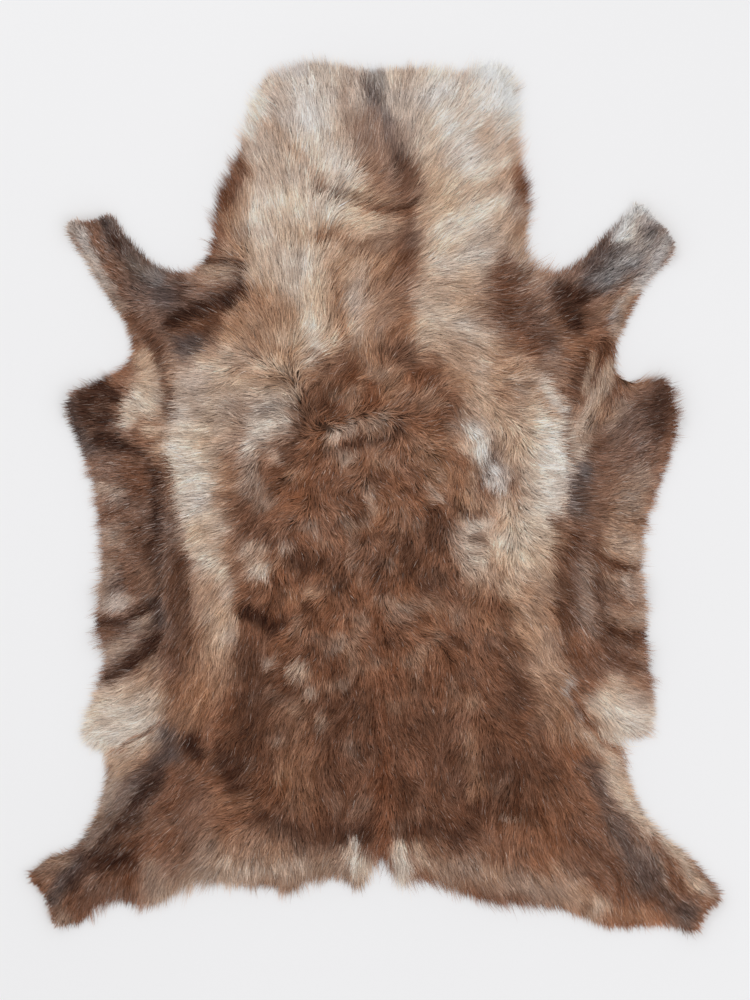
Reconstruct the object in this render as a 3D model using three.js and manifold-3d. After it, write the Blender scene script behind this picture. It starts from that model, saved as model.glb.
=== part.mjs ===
// A reindeer hide: one tanned skin with its coat on, cut open along the belly and
// spread out flat, hair side up, with its neck edge, four legs, two belly flaps and tail.
//
// The hide is one solid. It reaches from the floor to the top of the hair, and out to the
// hair tips along the edge. Units are millimetres. +Y points to the neck, +Z up out of the
// hair, and the origin lies on the floor under the middle of the hide.

import * as THREE from "three";
import { mergeVertices } from "three/addons/utils/BufferGeometryUtils.js";
import Module from "manifold-3d";

// ---------------------------------------------------------------- driving sizes

const GRID_STEP = 22; // spacing of the heights over the hide
const CURVE_STEPS = 3; // straight steps from one outline point to the next
const EDGE_THICKNESS = 4; // skin and laid hair at the hair tips
const EDGE_FADE = 48; // how far in from the edge the coat gets its full depth
const BASE_PILE = 20; // skin and coat where no zone below says otherwise
const BASE_WEIGHT = 0.3; // how strongly the base depth counts among the zones
const LEAST_PILE = 3.5; // no fold thins the hide below this
const LIFT_FLOOR = 0.6; // how far every ripple is pressed down by the hide's weight
const TALLEST = 90; // clear of every fold
const MARGIN = 12; // how far the height grids reach past the outline, and below the floor

// The outline of the spread hide, clockwise from the left end of the neck edge, one row
// for each stretch. Every point is [x, y].
const OUTLINE = [
  {
    stretch: "neck edge",
    points: [
      [-167, 560], [-158, 590], [-123, 602], [-87, 611], [-35, 603], [-15, 597],
      [25, 603], [83, 600], [118, 596], [161, 610], [182, 606], [200, 582],
    ],
  },
  {
    stretch: "right side of the neck",
    points: [[204, 541], [200, 501], [203, 469], [216, 427], [214, 371], [216, 333], [232, 317]],
  },
  {
    stretch: "right foreleg",
    points: [
      [267, 324], [307, 357], [349, 401], [365, 417], [395, 394],
      [421, 355], [416, 337], [381, 299], [354, 254], [339, 211],
    ],
  },
  {
    stretch: "right belly flap",
    points: [
      [343, 183], [371, 172], [405, 180], [417, 151], [428, 110], [420, 74], [395, 0], [379, -45],
      [377, -105], [385, -161], [382, -198], [388, -252], [388, -320], [371, -335], [335, -339],
    ],
  },
  {
    stretch: "right hind leg",
    points: [
      [346, -356], [357, -395], [378, -437], [406, -465], [438, -492], [476, -535], [490, -558],
      [468, -577], [447, -611], [406, -598], [330, -598], [281, -579], [231, -567],
    ],
  },
  {
    stretch: "right half of the rump edge",
    points: [[147, -562], [90, -542], [53, -535], [39, -556], [25, -538], [7, -513]],
  },
  {
    stretch: "left half of the rump edge",
    points: [
      [-7, -535], [-22, -556], [-38, -538], [-80, -531], [-115, -553], [-147, -544],
      [-197, -542], [-255, -542], [-304, -570], [-349, -567], [-377, -569],
    ],
  },
  {
    stretch: "left hind leg",
    points: [
      [-402, -590], [-427, -600], [-452, -597], [-465, -558], [-490, -527], [-480, -514],
      [-448, -493], [-421, -485], [-400, -454], [-384, -420], [-375, -381],
    ],
  },
  {
    stretch: "left belly flap",
    points: [
      [-379, -355], [-410, -338], [-399, -292], [-385, -252], [-379, -216], [-393, -180],
      [-392, -140], [-386, -84], [-391, -20], [-403, 42], [-424, 91], [-438, 128],
      [-424, 155], [-388, 172], [-351, 187],
    ],
  },
  {
    stretch: "left foreleg",
    points: [
      [-340, 211], [-351, 249], [-377, 285], [-409, 336], [-434, 378], [-424, 393],
      [-399, 390], [-370, 401], [-344, 366], [-307, 329], [-260, 317],
    ],
  },
  {
    stretch: "left side of the neck",
    points: [[-238, 333], [-228, 366], [-225, 403], [-206, 450], [-189, 488], [-183, 525]],
  },
];

// How deep the coat lies: long on the neck, short on the legs. Each zone is a soft ellipse
// about (x, y) with half-widths rx and ry, and pile is the depth of skin and hair there.
const PILE_ZONES = [
  { zone: "neck", x: 0, y: 470, rx: 180, ry: 150, pile: 30 },
  { zone: "shoulders", x: 0, y: 240, rx: 230, ry: 110, pile: 27 },
  { zone: "back", x: 0, y: -20, rx: 220, ry: 210, pile: 23 },
  { zone: "rump", x: 0, y: -390, rx: 290, ry: 140, pile: 25 },
  { zone: "left belly flap", x: -375, y: -60, rx: 70, ry: 260, pile: 14 },
  { zone: "right belly flap", x: 370, y: -60, rx: 70, ry: 260, pile: 14 },
  { zone: "left foreleg", x: -380, y: 335, rx: 80, ry: 80, pile: 9 },
  { zone: "right foreleg", x: 370, y: 335, rx: 80, ry: 80, pile: 9 },
  { zone: "left hind leg", x: -430, y: -530, rx: 90, ry: 80, pile: 11 },
  { zone: "right hind leg", x: 425, y: -545, rx: 90, ry: 80, pile: 11 },
];

// Broad swells of the coat over the body.
const SWELLS = [
  { at: "left shoulder", x: -185, y: 180, rx: 80, ry: 110, rise: 6 },
  { at: "right shoulder", x: 195, y: 185, rx: 75, ry: 110, rise: 6 },
  { at: "withers", x: 5, y: 235, rx: 110, ry: 80, rise: 4 },
  { at: "left flank", x: -195, y: -90, rx: 60, ry: 190, rise: 5 },
  { at: "right flank", x: 205, y: -90, rx: 60, ry: 190, rise: 5 },
  { at: "loin", x: 0, y: -180, rx: 130, ry: 120, rise: 4 },
  { at: "left haunch", x: -150, y: -400, rx: 110, ry: 90, rise: 4 },
  { at: "right haunch", x: 160, y: -400, rx: 110, ry: 90, rise: 4 },
];

// Ridges where the skin itself stands off the floor: ripples in the belly flaps and the
// curled ends of the legs. lift is the height of the underside, width the ridge's spread.
const RIPPLES = [
  { at: "upper ripple, left flap", path: [[-400, -135], [-325, -150]], lift: 10, width: 20 },
  { at: "lower ripple, left flap", path: [[-400, -203], [-322, -196]], lift: 11, width: 19 },
  { at: "upper ripple, right flap", path: [[392, -128], [325, -136]], lift: 9, width: 24 },
  { at: "lower ripple, right flap", path: [[394, -222], [322, -214]], lift: 9, width: 22 },
  { at: "ridge by the left flank", path: [[-290, 70], [-284, -60], [-283, -190]], lift: 8, width: 13 },
  { at: "ridge by the right flank", path: [[312, 200], [300, 140]], lift: 9, width: 16 },
  { at: "ridge by the left armpit", path: [[-306, 292], [-296, 240], [-240, 232]], lift: 8, width: 15 },
  { at: "end of the left foreleg", path: [[-440, 372], [-396, 400]], lift: 11, width: 22 },
  { at: "end of the right foreleg", path: [[375, 425], [428, 345]], lift: 11, width: 20 },
  { at: "top corner, left flap", path: [[-446, 130], [-420, 176]], lift: 13, width: 24 },
  { at: "top corner, right flap", path: [[402, 186], [434, 108]], lift: 12, width: 22 },
  { at: "end of the left hind leg", path: [[-496, -530], [-452, -606]], lift: 9, width: 20 },
  { at: "end of the right hind leg", path: [[496, -556], [446, -618]], lift: 9, width: 20 },
];

// Creases and partings, where the top of the coat sinks by depth over a trough of width.
const CREASES = [
  { at: "across the left foreleg", path: [[-280, 244], [-245, 260], [-192, 274]], depth: 11, width: 14 },
  { at: "into the left armpit", path: [[-315, 230], [-294, 195], [-294, 111]], depth: 8, width: 13 },
  { at: "knee of the left foreleg", path: [[-277, 316], [-266, 276]], depth: 4, width: 11 },
  { at: "along the left flap", path: [[-308, 62], [-301, -40], [-305, -169], [-312, -235]], depth: 10, width: 16 },
  { at: "left edge of the flank", path: [[-262, 30], [-262, -80], [-256, -180]], depth: 5, width: 15 },
  { at: "corner of the left flap", path: [[-412, 170], [-340, 136]], depth: 6, width: 13 },
  { at: "under that corner", path: [[-382, 68], [-312, 84]], depth: 5, width: 14 },
  { at: "foot of the neck, left", path: [[-236, 336], [-205, 318], [-172, 288]], depth: 8, width: 14 },
  { at: "across the neck", path: [[-80, 432], [-30, 410], [35, 403], [60, 413]], depth: 8, width: 13 },
  { at: "below it", path: [[-72, 356], [35, 328]], depth: 5, width: 16 },
  { at: "into the right armpit", path: [[262, 302], [275, 248]], depth: 10, width: 18 },
  { at: "below the right armpit", path: [[281, 212], [272, 138]], depth: 8, width: 15 },
  { at: "along the right flap", path: [[276, 85], [290, -60], [304, -150], [318, -215]], depth: 9, width: 16 },
  { at: "right stifle", path: [[291, -267], [315, -332], [356, -366]], depth: 9, width: 12 },
  { at: "hock of the right hind leg", path: [[392, -491], [418, -549]], depth: 4, width: 13 },
  { at: "left stifle", path: [[-376, -350], [-310, -326], [-250, -340]], depth: 7, width: 14 },
  { at: "middle of the back", path: [[-62, 70], [-20, 84], [8, 80], [32, 96]], depth: 5, width: 13 },
  { at: "over the tail", path: [[6, -400], [3, -505]], depth: 5, width: 16 },
];

// ---------------------------------------------------------------- shape functions

const outline = smoothOutline(OUTLINE.flatMap((row) => row.points));

/** A closed smooth line through the given [x, y] points, as THREE.Vector2s. */
function smoothOutline(points) {
  const knots = points.map(([x, y]) => new THREE.Vector3(x, y, 0));
  const curve = new THREE.CatmullRomCurve3(knots, true, "centripetal");
  const line = curve.getPoints(knots.length * CURVE_STEPS).slice(0, -1);
  return line.map((point) => new THREE.Vector2(point.x, point.y));
}

/** How far (x, y) is from the straight stretch between two [x, y] points. */
function distanceToStretch(x, y, [ax, ay], [bx, by]) {
  const [dx, dy] = [bx - ax, by - ay];
  const along = ((x - ax) * dx + (y - ay) * dy) / (dx * dx + dy * dy);
  const held = THREE.MathUtils.clamp(along, 0, 1);
  return Math.hypot(x - ax - held * dx, y - ay - held * dy);
}

/** How far (x, y) is from a path of [x, y] points, closed or open. */
function distanceToPath(x, y, path, closed = false) {
  let nearest = Infinity;
  for (let i = closed ? 0 : 1; i < path.length; i += 1) {
    const from = path[(i + path.length - 1) % path.length];
    nearest = Math.min(nearest, distanceToStretch(x, y, from, path[i]));
  }
  return nearest;
}

/** Whether (x, y) is inside a closed path of [x, y] points, by the even-odd rule. */
function isInside(x, y, path) {
  let inside = false;
  for (let i = 0; i < path.length; i += 1) {
    const [[ax, ay], [bx, by]] = [path[(i + path.length - 1) % path.length], path[i]];
    if (ay > y !== by > y && x < ax + ((y - ay) * (bx - ax)) / (by - ay)) {
      inside = !inside;
    }
  }
  return inside;
}

/** How far (x, y) is inside the outline, negative outside it. */
function depthInside(x, y) {
  const distance = distanceToPath(x, y, outlinePath, true);
  return isInside(x, y, outlinePath) ? distance : -distance;
}

/** 1 on a ridge or trough line of this width, falling softly to 0 beside it. */
function besideLine(x, y, { path, width }) {
  return Math.exp(-((distanceToPath(x, y, path) / width) ** 2));
}

/** 1 in the middle of a soft ellipse, falling to 0 outside it. */
function insideEllipse(x, y, { x: cx, y: cy, rx, ry }) {
  return Math.exp(-(((x - cx) / rx) ** 2) - ((y - cy) / ry) ** 2);
}

/** The depth of skin and coat at (x, y), away from the edge and before any fold. */
function pileAt(x, y) {
  let [depth, weight] = [BASE_PILE * BASE_WEIGHT, BASE_WEIGHT];
  for (const zone of PILE_ZONES) {
    const share = insideEllipse(x, y, zone);
    depth += share * zone.pile;
    weight += share;
  }
  const rise = SWELLS.reduce((sum, swell) => sum + swell.rise * insideEllipse(x, y, swell), 0);
  return depth / weight + rise;
}

/** How far the ripples lift the skin at (x, y): under 0 wherever it lies on the floor. */
function rippleLift(x, y) {
  const lift = RIPPLES.reduce((most, row) => Math.max(most, row.lift * besideLine(x, y, row)), 0);
  return lift - LIFT_FLOOR;
}

/** The height of the top of the coat at (x, y). */
function coatTop(x, y) {
  const grown = THREE.MathUtils.smoothstep(depthInside(x, y), 0, EDGE_FADE);
  const crease = CREASES.reduce((most, row) => Math.max(most, row.depth * besideLine(x, y, row)), 0);
  const pile = THREE.MathUtils.lerp(EDGE_THICKNESS, pileAt(x, y), grown);
  return Math.max(0, rippleLift(x, y)) + Math.max(LEAST_PILE, pile - crease * grown);
}

// ---------------------------------------------------------------- solids

const outlinePath = outline.map((point) => [point.x, point.y]);

/** A block over the whole outline whose top has the given height at each (x, y). */
function heightBlock(heightAt) {
  const box = new THREE.Box2().setFromPoints(outline).expandByScalar(MARGIN);
  const [size, centre] = [box.getSize(new THREE.Vector2()), box.getCenter(new THREE.Vector2())];
  const columns = Math.round(size.x / GRID_STEP);
  const rows = Math.round(size.y / GRID_STEP);
  const block = new THREE.BoxGeometry(size.x, size.y, MARGIN, columns, rows, 1);
  block.translate(centre.x, centre.y, 0);
  const position = block.attributes.position;
  for (let i = 0; i < position.count; i += 1) {
    const [x, y] = [position.getX(i), position.getY(i)];
    position.setZ(i, position.getZ(i) > 0 ? heightAt(x, y) : -MARGIN);
  }
  return block;
}

/** The outline as an upright prism on the floor, taller than the hide. */
function outlinePrism() {
  const shape = new THREE.Shape(outline);
  return new THREE.ExtrudeGeometry(shape, { depth: TALLEST, bevelEnabled: false });
}

/** A manifold solid of a closed geometry. */
function toSolid(wasm, geometry) {
  geometry.deleteAttribute("normal");
  geometry.deleteAttribute("uv");
  const merged = mergeVertices(geometry);
  return new wasm.Manifold(
    new wasm.Mesh({
      numProp: 3,
      vertProperties: new Float32Array(merged.attributes.position.array),
      triVerts: new Uint32Array(merged.index.array),
    }),
  );
}

/** A geometry of a manifold solid, centred over the origin. */
function toCentredGeometry(solid) {
  const mesh = solid.getMesh();
  const geometry = new THREE.BufferGeometry();
  geometry.setAttribute("position", new THREE.BufferAttribute(mesh.vertProperties, 3));
  geometry.setIndex(new THREE.BufferAttribute(mesh.triVerts, 1));
  geometry.computeBoundingBox();
  const centre = geometry.boundingBox.getCenter(new THREE.Vector3());
  geometry.translate(-centre.x, -centre.y, -geometry.boundingBox.min.z);
  geometry.computeVertexNormals();
  return geometry;
}

/** The whole hide: the coat's heights cut to the outline, hollow under each ripple. */
async function makeHide() {
  const wasm = await Module();
  wasm.setup();
  const [coatHeights, rippleHollows] = [heightBlock(coatTop), heightBlock(rippleLift)];
  const solid = toSolid(wasm, outlinePrism())
    .intersect(toSolid(wasm, coatHeights))
    .subtract(toSolid(wasm, rippleHollows));
  const coat = new THREE.MeshStandardMaterial({
    name: "reindeer coat",
    color: 0x8a6f5a,
    roughness: 0.85,
    metalness: 0,
  });
  const hide = new THREE.Mesh(toCentredGeometry(solid), coat);
  hide.name = "hide";
  return hide;
}

const model = new THREE.Group();
model.add(await makeHide());

export default model;
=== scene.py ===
"""A whole tanned reindeer hide, spread flat with its hair side up.

The hide is one cut skin with its own coat: neck edge, two forelegs, two belly flaps, two hind
legs and the tail tufts. It is made of a thin leather sheet, a felt of short underfur on it, and
layers of single hairs that lie along the body as they grew.

The tables are in millimetres: +X to the right, +Y along the back to the neck, +Z up out of the
hair, with the origin on the floor under the middle of the hide. Meshes are made in metres.
"""

import logging
from dataclasses import dataclass, field
from enum import Enum

import bpy
import numpy as np
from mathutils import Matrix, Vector
from mathutils.geometry import delaunay_2d_cdt

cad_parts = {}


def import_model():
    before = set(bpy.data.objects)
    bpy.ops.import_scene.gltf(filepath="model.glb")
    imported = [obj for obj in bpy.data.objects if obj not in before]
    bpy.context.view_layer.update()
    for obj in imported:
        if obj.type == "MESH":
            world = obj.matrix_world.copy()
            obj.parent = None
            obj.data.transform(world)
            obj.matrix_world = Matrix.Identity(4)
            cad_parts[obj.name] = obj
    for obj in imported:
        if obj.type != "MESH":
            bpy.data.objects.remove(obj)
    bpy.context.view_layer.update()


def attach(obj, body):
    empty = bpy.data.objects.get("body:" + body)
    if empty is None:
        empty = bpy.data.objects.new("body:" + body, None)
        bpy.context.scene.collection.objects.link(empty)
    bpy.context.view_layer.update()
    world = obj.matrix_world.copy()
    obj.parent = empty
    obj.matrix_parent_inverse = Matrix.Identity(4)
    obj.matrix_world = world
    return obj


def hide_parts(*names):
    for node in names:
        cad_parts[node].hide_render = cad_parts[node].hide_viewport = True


log = logging.getLogger("reindeer_hide")

MM = 0.001  # metres in a millimetre
ROW_GAP = 0.866  # between rows of points that stand in equal triangles, as a share of a side
NODE = "hide"  # the CAD node that every piece stands for
BODY = "root"
LEAST = 1e-6  # the shortest length that anything is divided by
Array = np.ndarray


# ------------------------------------------------------------------ named colours


class Tone(Enum):
    """Colours of the coat, in sRGB steps from 0 to 255."""

    WHITE = (243, 237, 232)
    IVORY = (226, 209, 196)
    BONE = (216, 198, 181)
    CREAM = (205, 186, 172)
    PALE_SAND = (205, 183, 165)
    SAND = (186, 158, 137)
    OCHRE = (157, 123, 101)
    TAN = (144, 106, 83)
    BROWN = (107, 73, 56)
    BACK = (123, 85, 65)
    DARK = (85, 57, 43)
    UMBER = (58, 37, 28)
    RUST = (122, 77, 55)
    PALE_GREIGE = (176, 153, 138)
    GREIGE = (150, 126, 110)
    COCOA = (119, 91, 77)
    CHARCOAL = (82, 68, 63)
    SLATE = (123, 116, 113)
    ASH = (172, 160, 153)
    SILVER = (180, 176, 174)

    def shares(self) -> Array:
        """The colour as three shares of full brightness, still in sRGB."""
        return np.array(self.value, float) / 255.0


def to_linear(colour: Array) -> Array:
    """Turns sRGB shares into linear ones.

    Args:
        colour: Any array of sRGB values from 0 to 1.

    Returns:
        The same array in linear light.
    """
    held = np.clip(colour, 0.0, 1.0)
    return np.where(held <= 0.04045, held / 12.92, ((held + 0.055) / 1.055) ** 2.4)


def soft_step(value: Array, low: float, high: float) -> Array:
    """0 up to low, 1 from high, and a smooth rise between them."""
    share = np.clip((value - low) / (high - low), 0.0, 1.0)
    return share * share * (3.0 - 2.0 * share)


# ------------------------------------------------------------------ rows of the tables


@dataclass(frozen=True)
class Stretch:
    """One stretch of the outline at the hair tips, with how its hair hangs past the skin."""

    name: str
    overhang: float  # how far the hair reaches past the cut skin
    points: tuple[tuple[float, float], ...]


@dataclass(frozen=True)
class Line:
    """A ridge or a crease: a path with a height or depth, and how wide it spreads."""

    name: str
    path: tuple[tuple[float, float], ...]
    amount: float
    width: float


@dataclass(frozen=True)
class Zone:
    """A soft ellipse about (x, y) with half-widths rx and ry, and a value there."""

    name: str
    x: float
    y: float
    rx: float
    ry: float
    value: float

    def share(self, x: Array, y: Array) -> Array:
        """1 in the middle of the zone, falling softly to 0 outside it."""
        return np.exp(-(((x - self.x) / self.rx) ** 2) - ((y - self.y) / self.ry) ** 2)


@dataclass(frozen=True)
class Marking:
    """A soft patch or band of one colour in the coat, along a path with its half width."""

    name: str
    tone: Tone
    strength: float
    path: tuple[tuple[float, float, float], ...]


@dataclass(frozen=True)
class Stroke:
    """A thin line of one colour along a path, such as a crease, and how far the coat sinks in it; a dark
    line in a crease or fold is painted shade.
    """

    name: str
    tone: Tone
    width: float
    strength: float
    sink: float
    path: tuple[tuple[float, float], ...]


@dataclass(frozen=True)
class Lie:
    """Which way the hair of one region lies, as places and headings in degrees."""

    name: str
    marks: tuple[tuple[float, float, float], ...]


def patch(name: str, tone: Tone, strength: float, *path: tuple[float, float, float]) -> Marking:
    """A marking, from its row of the table."""
    return Marking(name, tone, strength, path)


def streak(name: str, tone: Tone, width: float, strength: float, sink: float,
           *path: tuple[float, float]) -> Stroke:
    """A stroke, from its row of the table."""
    return Stroke(name, tone, width, strength, sink, path)


def lie(name: str, *marks: tuple[float, float, float]) -> Lie:
    """The lie of one region's hair, from its row of the table."""
    return Lie(name, marks)


# ------------------------------------------------------------------ the tables

OUTLINE = (
    Stretch("neck edge", 14, (
        (-167, 560), (-158, 590), (-123, 602), (-87, 611), (-35, 603), (-15, 597),
        (25, 603), (83, 600), (118, 596), (161, 610), (182, 606), (200, 582))),
    Stretch("right side of the neck", 15, (
        (204, 541), (200, 501), (203, 469), (216, 427), (214, 371), (216, 333), (232, 317))),
    Stretch("right foreleg", 6, (
        (267, 324), (307, 357), (349, 401), (365, 417), (395, 394),
        (421, 355), (416, 337), (381, 299), (354, 254), (339, 211))),
    Stretch("right belly flap", 13, (
        (343, 183), (371, 172), (405, 180), (417, 151), (428, 110), (420, 74), (395, 0),
        (379, -45), (377, -105), (385, -161), (382, -198), (388, -252), (388, -320),
        (371, -335), (335, -339))),
    Stretch("right hind leg", 10, (
        (346, -356), (357, -395), (378, -437), (406, -465), (438, -492), (476, -535),
        (490, -558), (468, -577), (447, -611), (406, -598), (330, -598), (281, -579),
        (231, -567))),
    Stretch("right half of the rump edge", 18, (
        (147, -562), (90, -542), (53, -535), (39, -556), (25, -538), (7, -513))),
    Stretch("left half of the rump edge", 18, (
        (-7, -535), (-22, -556), (-38, -538), (-80, -531), (-115, -553), (-147, -544),
        (-197, -542), (-255, -542), (-304, -570), (-349, -567), (-377, -569))),
    Stretch("left hind leg", 8, (
        (-402, -590), (-427, -600), (-452, -597), (-465, -558), (-490, -527), (-480, -514),
        (-448, -493), (-421, -485), (-400, -454), (-384, -420), (-375, -381))),
    Stretch("left belly flap", 13, (
        (-379, -355), (-410, -338), (-399, -292), (-385, -252), (-379, -216), (-393, -180),
        (-392, -140), (-386, -84), (-391, -20), (-403, 42), (-424, 91), (-438, 128),
        (-424, 155), (-388, 172), (-351, 187))),
    Stretch("left foreleg", 6, (
        (-340, 211), (-351, 249), (-377, 285), (-409, 336), (-434, 378), (-424, 393),
        (-399, 390), (-370, 401), (-344, 366), (-307, 329), (-260, 317))),
    Stretch("left side of the neck", 15, (
        (-238, 333), (-228, 366), (-225, 403), (-206, 450), (-189, 488), (-183, 525))),
)

# How deep the coat lies, skin and all.
PILE_ZONES = (
    Zone("neck", 0, 470, 180, 150, 30),
    Zone("shoulders", 0, 240, 230, 110, 27),
    Zone("back", 0, -20, 220, 210, 23),
    Zone("rump", 0, -390, 290, 140, 25),
    Zone("left belly flap", -375, -60, 70, 260, 14),
    Zone("right belly flap", 370, -60, 70, 260, 14),
    Zone("left foreleg", -380, 335, 80, 80, 9),
    Zone("right foreleg", 370, 335, 80, 80, 9),
    Zone("left hind leg", -430, -530, 90, 80, 11),
    Zone("right hind leg", 425, -545, 90, 80, 11),
)

# Broad swells of the coat over the body.
SWELLS = (
    Zone("left shoulder", -185, 180, 80, 110, 6),
    Zone("right shoulder", 195, 185, 75, 110, 6),
    Zone("withers", 5, 235, 110, 80, 4),
    Zone("left flank", -195, -90, 60, 190, 5),
    Zone("right flank", 205, -90, 60, 190, 5),
    Zone("loin", 0, -180, 130, 120, 4),
    Zone("left haunch", -150, -400, 110, 90, 4),
    Zone("right haunch", 160, -400, 110, 90, 4),
)

# Ridges where the skin itself stands off the floor.
RIPPLES = (
    Line("upper ripple, left flap", ((-400, -135), (-325, -150)), 10, 20),
    Line("lower ripple, left flap", ((-400, -203), (-322, -196)), 11, 19),
    Line("upper ripple, right flap", ((392, -128), (325, -136)), 9, 24),
    Line("lower ripple, right flap", ((394, -222), (322, -214)), 9, 22),
    Line("ridge by the left flank", ((-290, 70), (-284, -60), (-283, -190)), 8, 13),
    Line("ridge by the right flank", ((312, 200), (300, 140)), 9, 16),
    Line("ridge by the left armpit", ((-306, 292), (-296, 240), (-240, 232)), 8, 15),
    Line("end of the left foreleg", ((-440, 372), (-396, 400)), 11, 22),
    Line("end of the right foreleg", ((375, 425), (428, 345)), 11, 20),
    Line("top corner, left flap", ((-446, 130), (-420, 176)), 13, 24),
    Line("top corner, right flap", ((402, 186), (434, 108)), 12, 22),
    Line("end of the left hind leg", ((-496, -530), (-452, -606)), 9, 20),
    Line("end of the right hind leg", ((496, -556), (446, -618)), 9, 20),
)

# Creases and partings, where the top of the coat sinks.
CREASES = (
    Line("across the left foreleg", ((-280, 244), (-245, 260), (-192, 274)), 11, 14),
    Line("into the left armpit", ((-315, 230), (-294, 195), (-294, 111)), 8, 13),
    Line("knee of the left foreleg", ((-277, 316), (-266, 276)), 4, 11),
    Line("along the left flap", ((-308, 62), (-301, -40), (-305, -169), (-312, -235)), 10, 16),
    Line("left edge of the flank", ((-262, 30), (-262, -80), (-256, -180)), 5, 15),
    Line("corner of the left flap", ((-412, 170), (-340, 136)), 6, 13),
    Line("under that corner", ((-382, 68), (-312, 84)), 5, 14),
    Line("foot of the neck, left", ((-236, 336), (-205, 318), (-172, 288)), 8, 14),
    Line("across the neck", ((-80, 432), (-30, 410), (35, 403), (60, 413)), 8, 13),
    Line("below it", ((-72, 356), (35, 328)), 5, 16),
    Line("into the right armpit", ((262, 302), (275, 248)), 10, 18),
    Line("below the right armpit", ((281, 212), (272, 138)), 8, 15),
    Line("along the right flap", ((276, 85), (290, -60), (304, -150), (318, -215)), 9, 16),
    Line("right stifle", ((291, -267), (315, -332), (356, -366)), 9, 12),
    Line("hock of the right hind leg", ((392, -491), (418, -549)), 4, 13),
    Line("left stifle", ((-376, -350), (-310, -326), (-250, -340)), 7, 14),
    Line("middle of the back", ((-62, 70), (-20, 84), (8, 80), (32, 96)), 5, 13),
    Line("over the tail", ((6, -400), (3, -505)), 5, 16),
)

# How long the hair is.
LENGTH_ZONES = (
    Zone("neck", 0, 470, 180, 150, 38),
    Zone("left side of the neck", -200, 420, 40, 90, 36),
    Zone("right side of the neck", 200, 420, 40, 90, 36),
    Zone("shoulders", 0, 250, 230, 100, 30),
    Zone("back", 0, -20, 190, 190, 17),
    Zone("loin", 0, -230, 170, 110, 16),
    Zone("left flank", -235, -60, 50, 220, 30),
    Zone("right flank", 245, -60, 50, 220, 30),
    Zone("rump", 0, -390, 250, 110, 17),
    Zone("rump edge", 0, -545, 330, 50, 34),
    Zone("tail", 0, -530, 45, 45, 42),
    Zone("left belly flap", -375, -40, 60, 240, 16),
    Zone("right belly flap", 370, -40, 60, 240, 16),
    Zone("foot of the left flap", -365, -300, 60, 60, 44),
    Zone("foot of the right flap", 350, -300, 60, 60, 42),
    Zone("left foreleg", -370, 330, 90, 80, 11),
    Zone("right foreleg", 360, 330, 90, 80, 11),
    Zone("left hind leg", -440, -530, 90, 80, 14),
    Zone("right hind leg", 440, -545, 90, 80, 14),
)
BASE_LENGTH = 26  # where no zone reaches
BASE_SHARE = 0.15  # how strongly the base value counts among the zones

# How ruffled the hair lies, as the most that its heading strays in degrees.
RUFFLE_ZONES = (
    Zone("back", 5, 20, 150, 150, 75),
    Zone("foot of the withers", -30, 165, 70, 50, 70),
    Zone("loin", 5, -190, 150, 110, 45),
    Zone("shoulders", 0, 270, 200, 60, 20),
    Zone("neck", 0, 470, 190, 120, 13),
    Zone("rump", 0, -380, 230, 90, 34),
    Zone("left flank", -240, -60, 45, 200, 12),
    Zone("right flank", 250, -60, 45, 200, 12),
    Zone("left belly flap", -375, -60, 60, 260, 18),
    Zone("right belly flap", 370, -60, 60, 260, 18),
)
BASE_RUFFLE = 12

# How many of the hairs are pale from tip to root, as a share.
SILVER_ZONES = (
    Zone("neck stripe", 0, 560, 22, 60, 0.3),
    Zone("left foreleg", -370, 350, 80, 60, 0.17),
    Zone("right foreleg", 350, 340, 80, 60, 0.3),
    Zone("left foreleg root", -215, 300, 50, 30, 0.25),
    Zone("right shoulder", 205, 260, 60, 90, 0.2),
    Zone("left valley", -290, -20, 30, 160, 0.16),
    Zone("right valley", 290, -120, 30, 170, 0.16),
    Zone("left hind leg", -350, -440, 70, 120, 0.12),
    Zone("right hind leg", 380, -470, 80, 120, 0.18),
    Zone("back", 0, 20, 150, 130, 0.07),
    Zone("rump edge", 0, -520, 350, 30, 0.12),
    Zone("left flap", -370, -60, 60, 200, 0.16),
    Zone("right flap", 370, -60, 60, 200, 0.14),
)
BASE_SILVER = 0.025

# How much further out the tips of the hair may end, in millimetres.
TRIM_ZONES = (
    Zone("right foreleg", 400, 385, 50, 50, -9),
    Zone("left foreleg", -400, 400, 50, 40, -7),
    Zone("right top corner of the neck", 195, 560, 30, 60, -2),
    Zone("left top corner of the neck", -160, 590, 50, 40, -4),
    Zone("left hind leg", -460, -560, 50, 60, -8),
    Zone("right hind leg", 460, -570, 60, 50, -4),
    Zone("left flap's corner", -430, 150, 40, 40, -6),
    Zone("right flap's corner", 430, 130, 30, 50, -6),
    Zone("right flap's margin", 395, -200, 25, 90, -5),
    Zone("left flap's margin", -400, -120, 25, 90, -3),
    Zone("between the tail tufts", 9, -500, 9, 25, -26),
    Zone("rump edge, left", -200, -560, 190, 30, 6),
    Zone("rump edge, right", 200, -575, 190, 30, 5),
)
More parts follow.
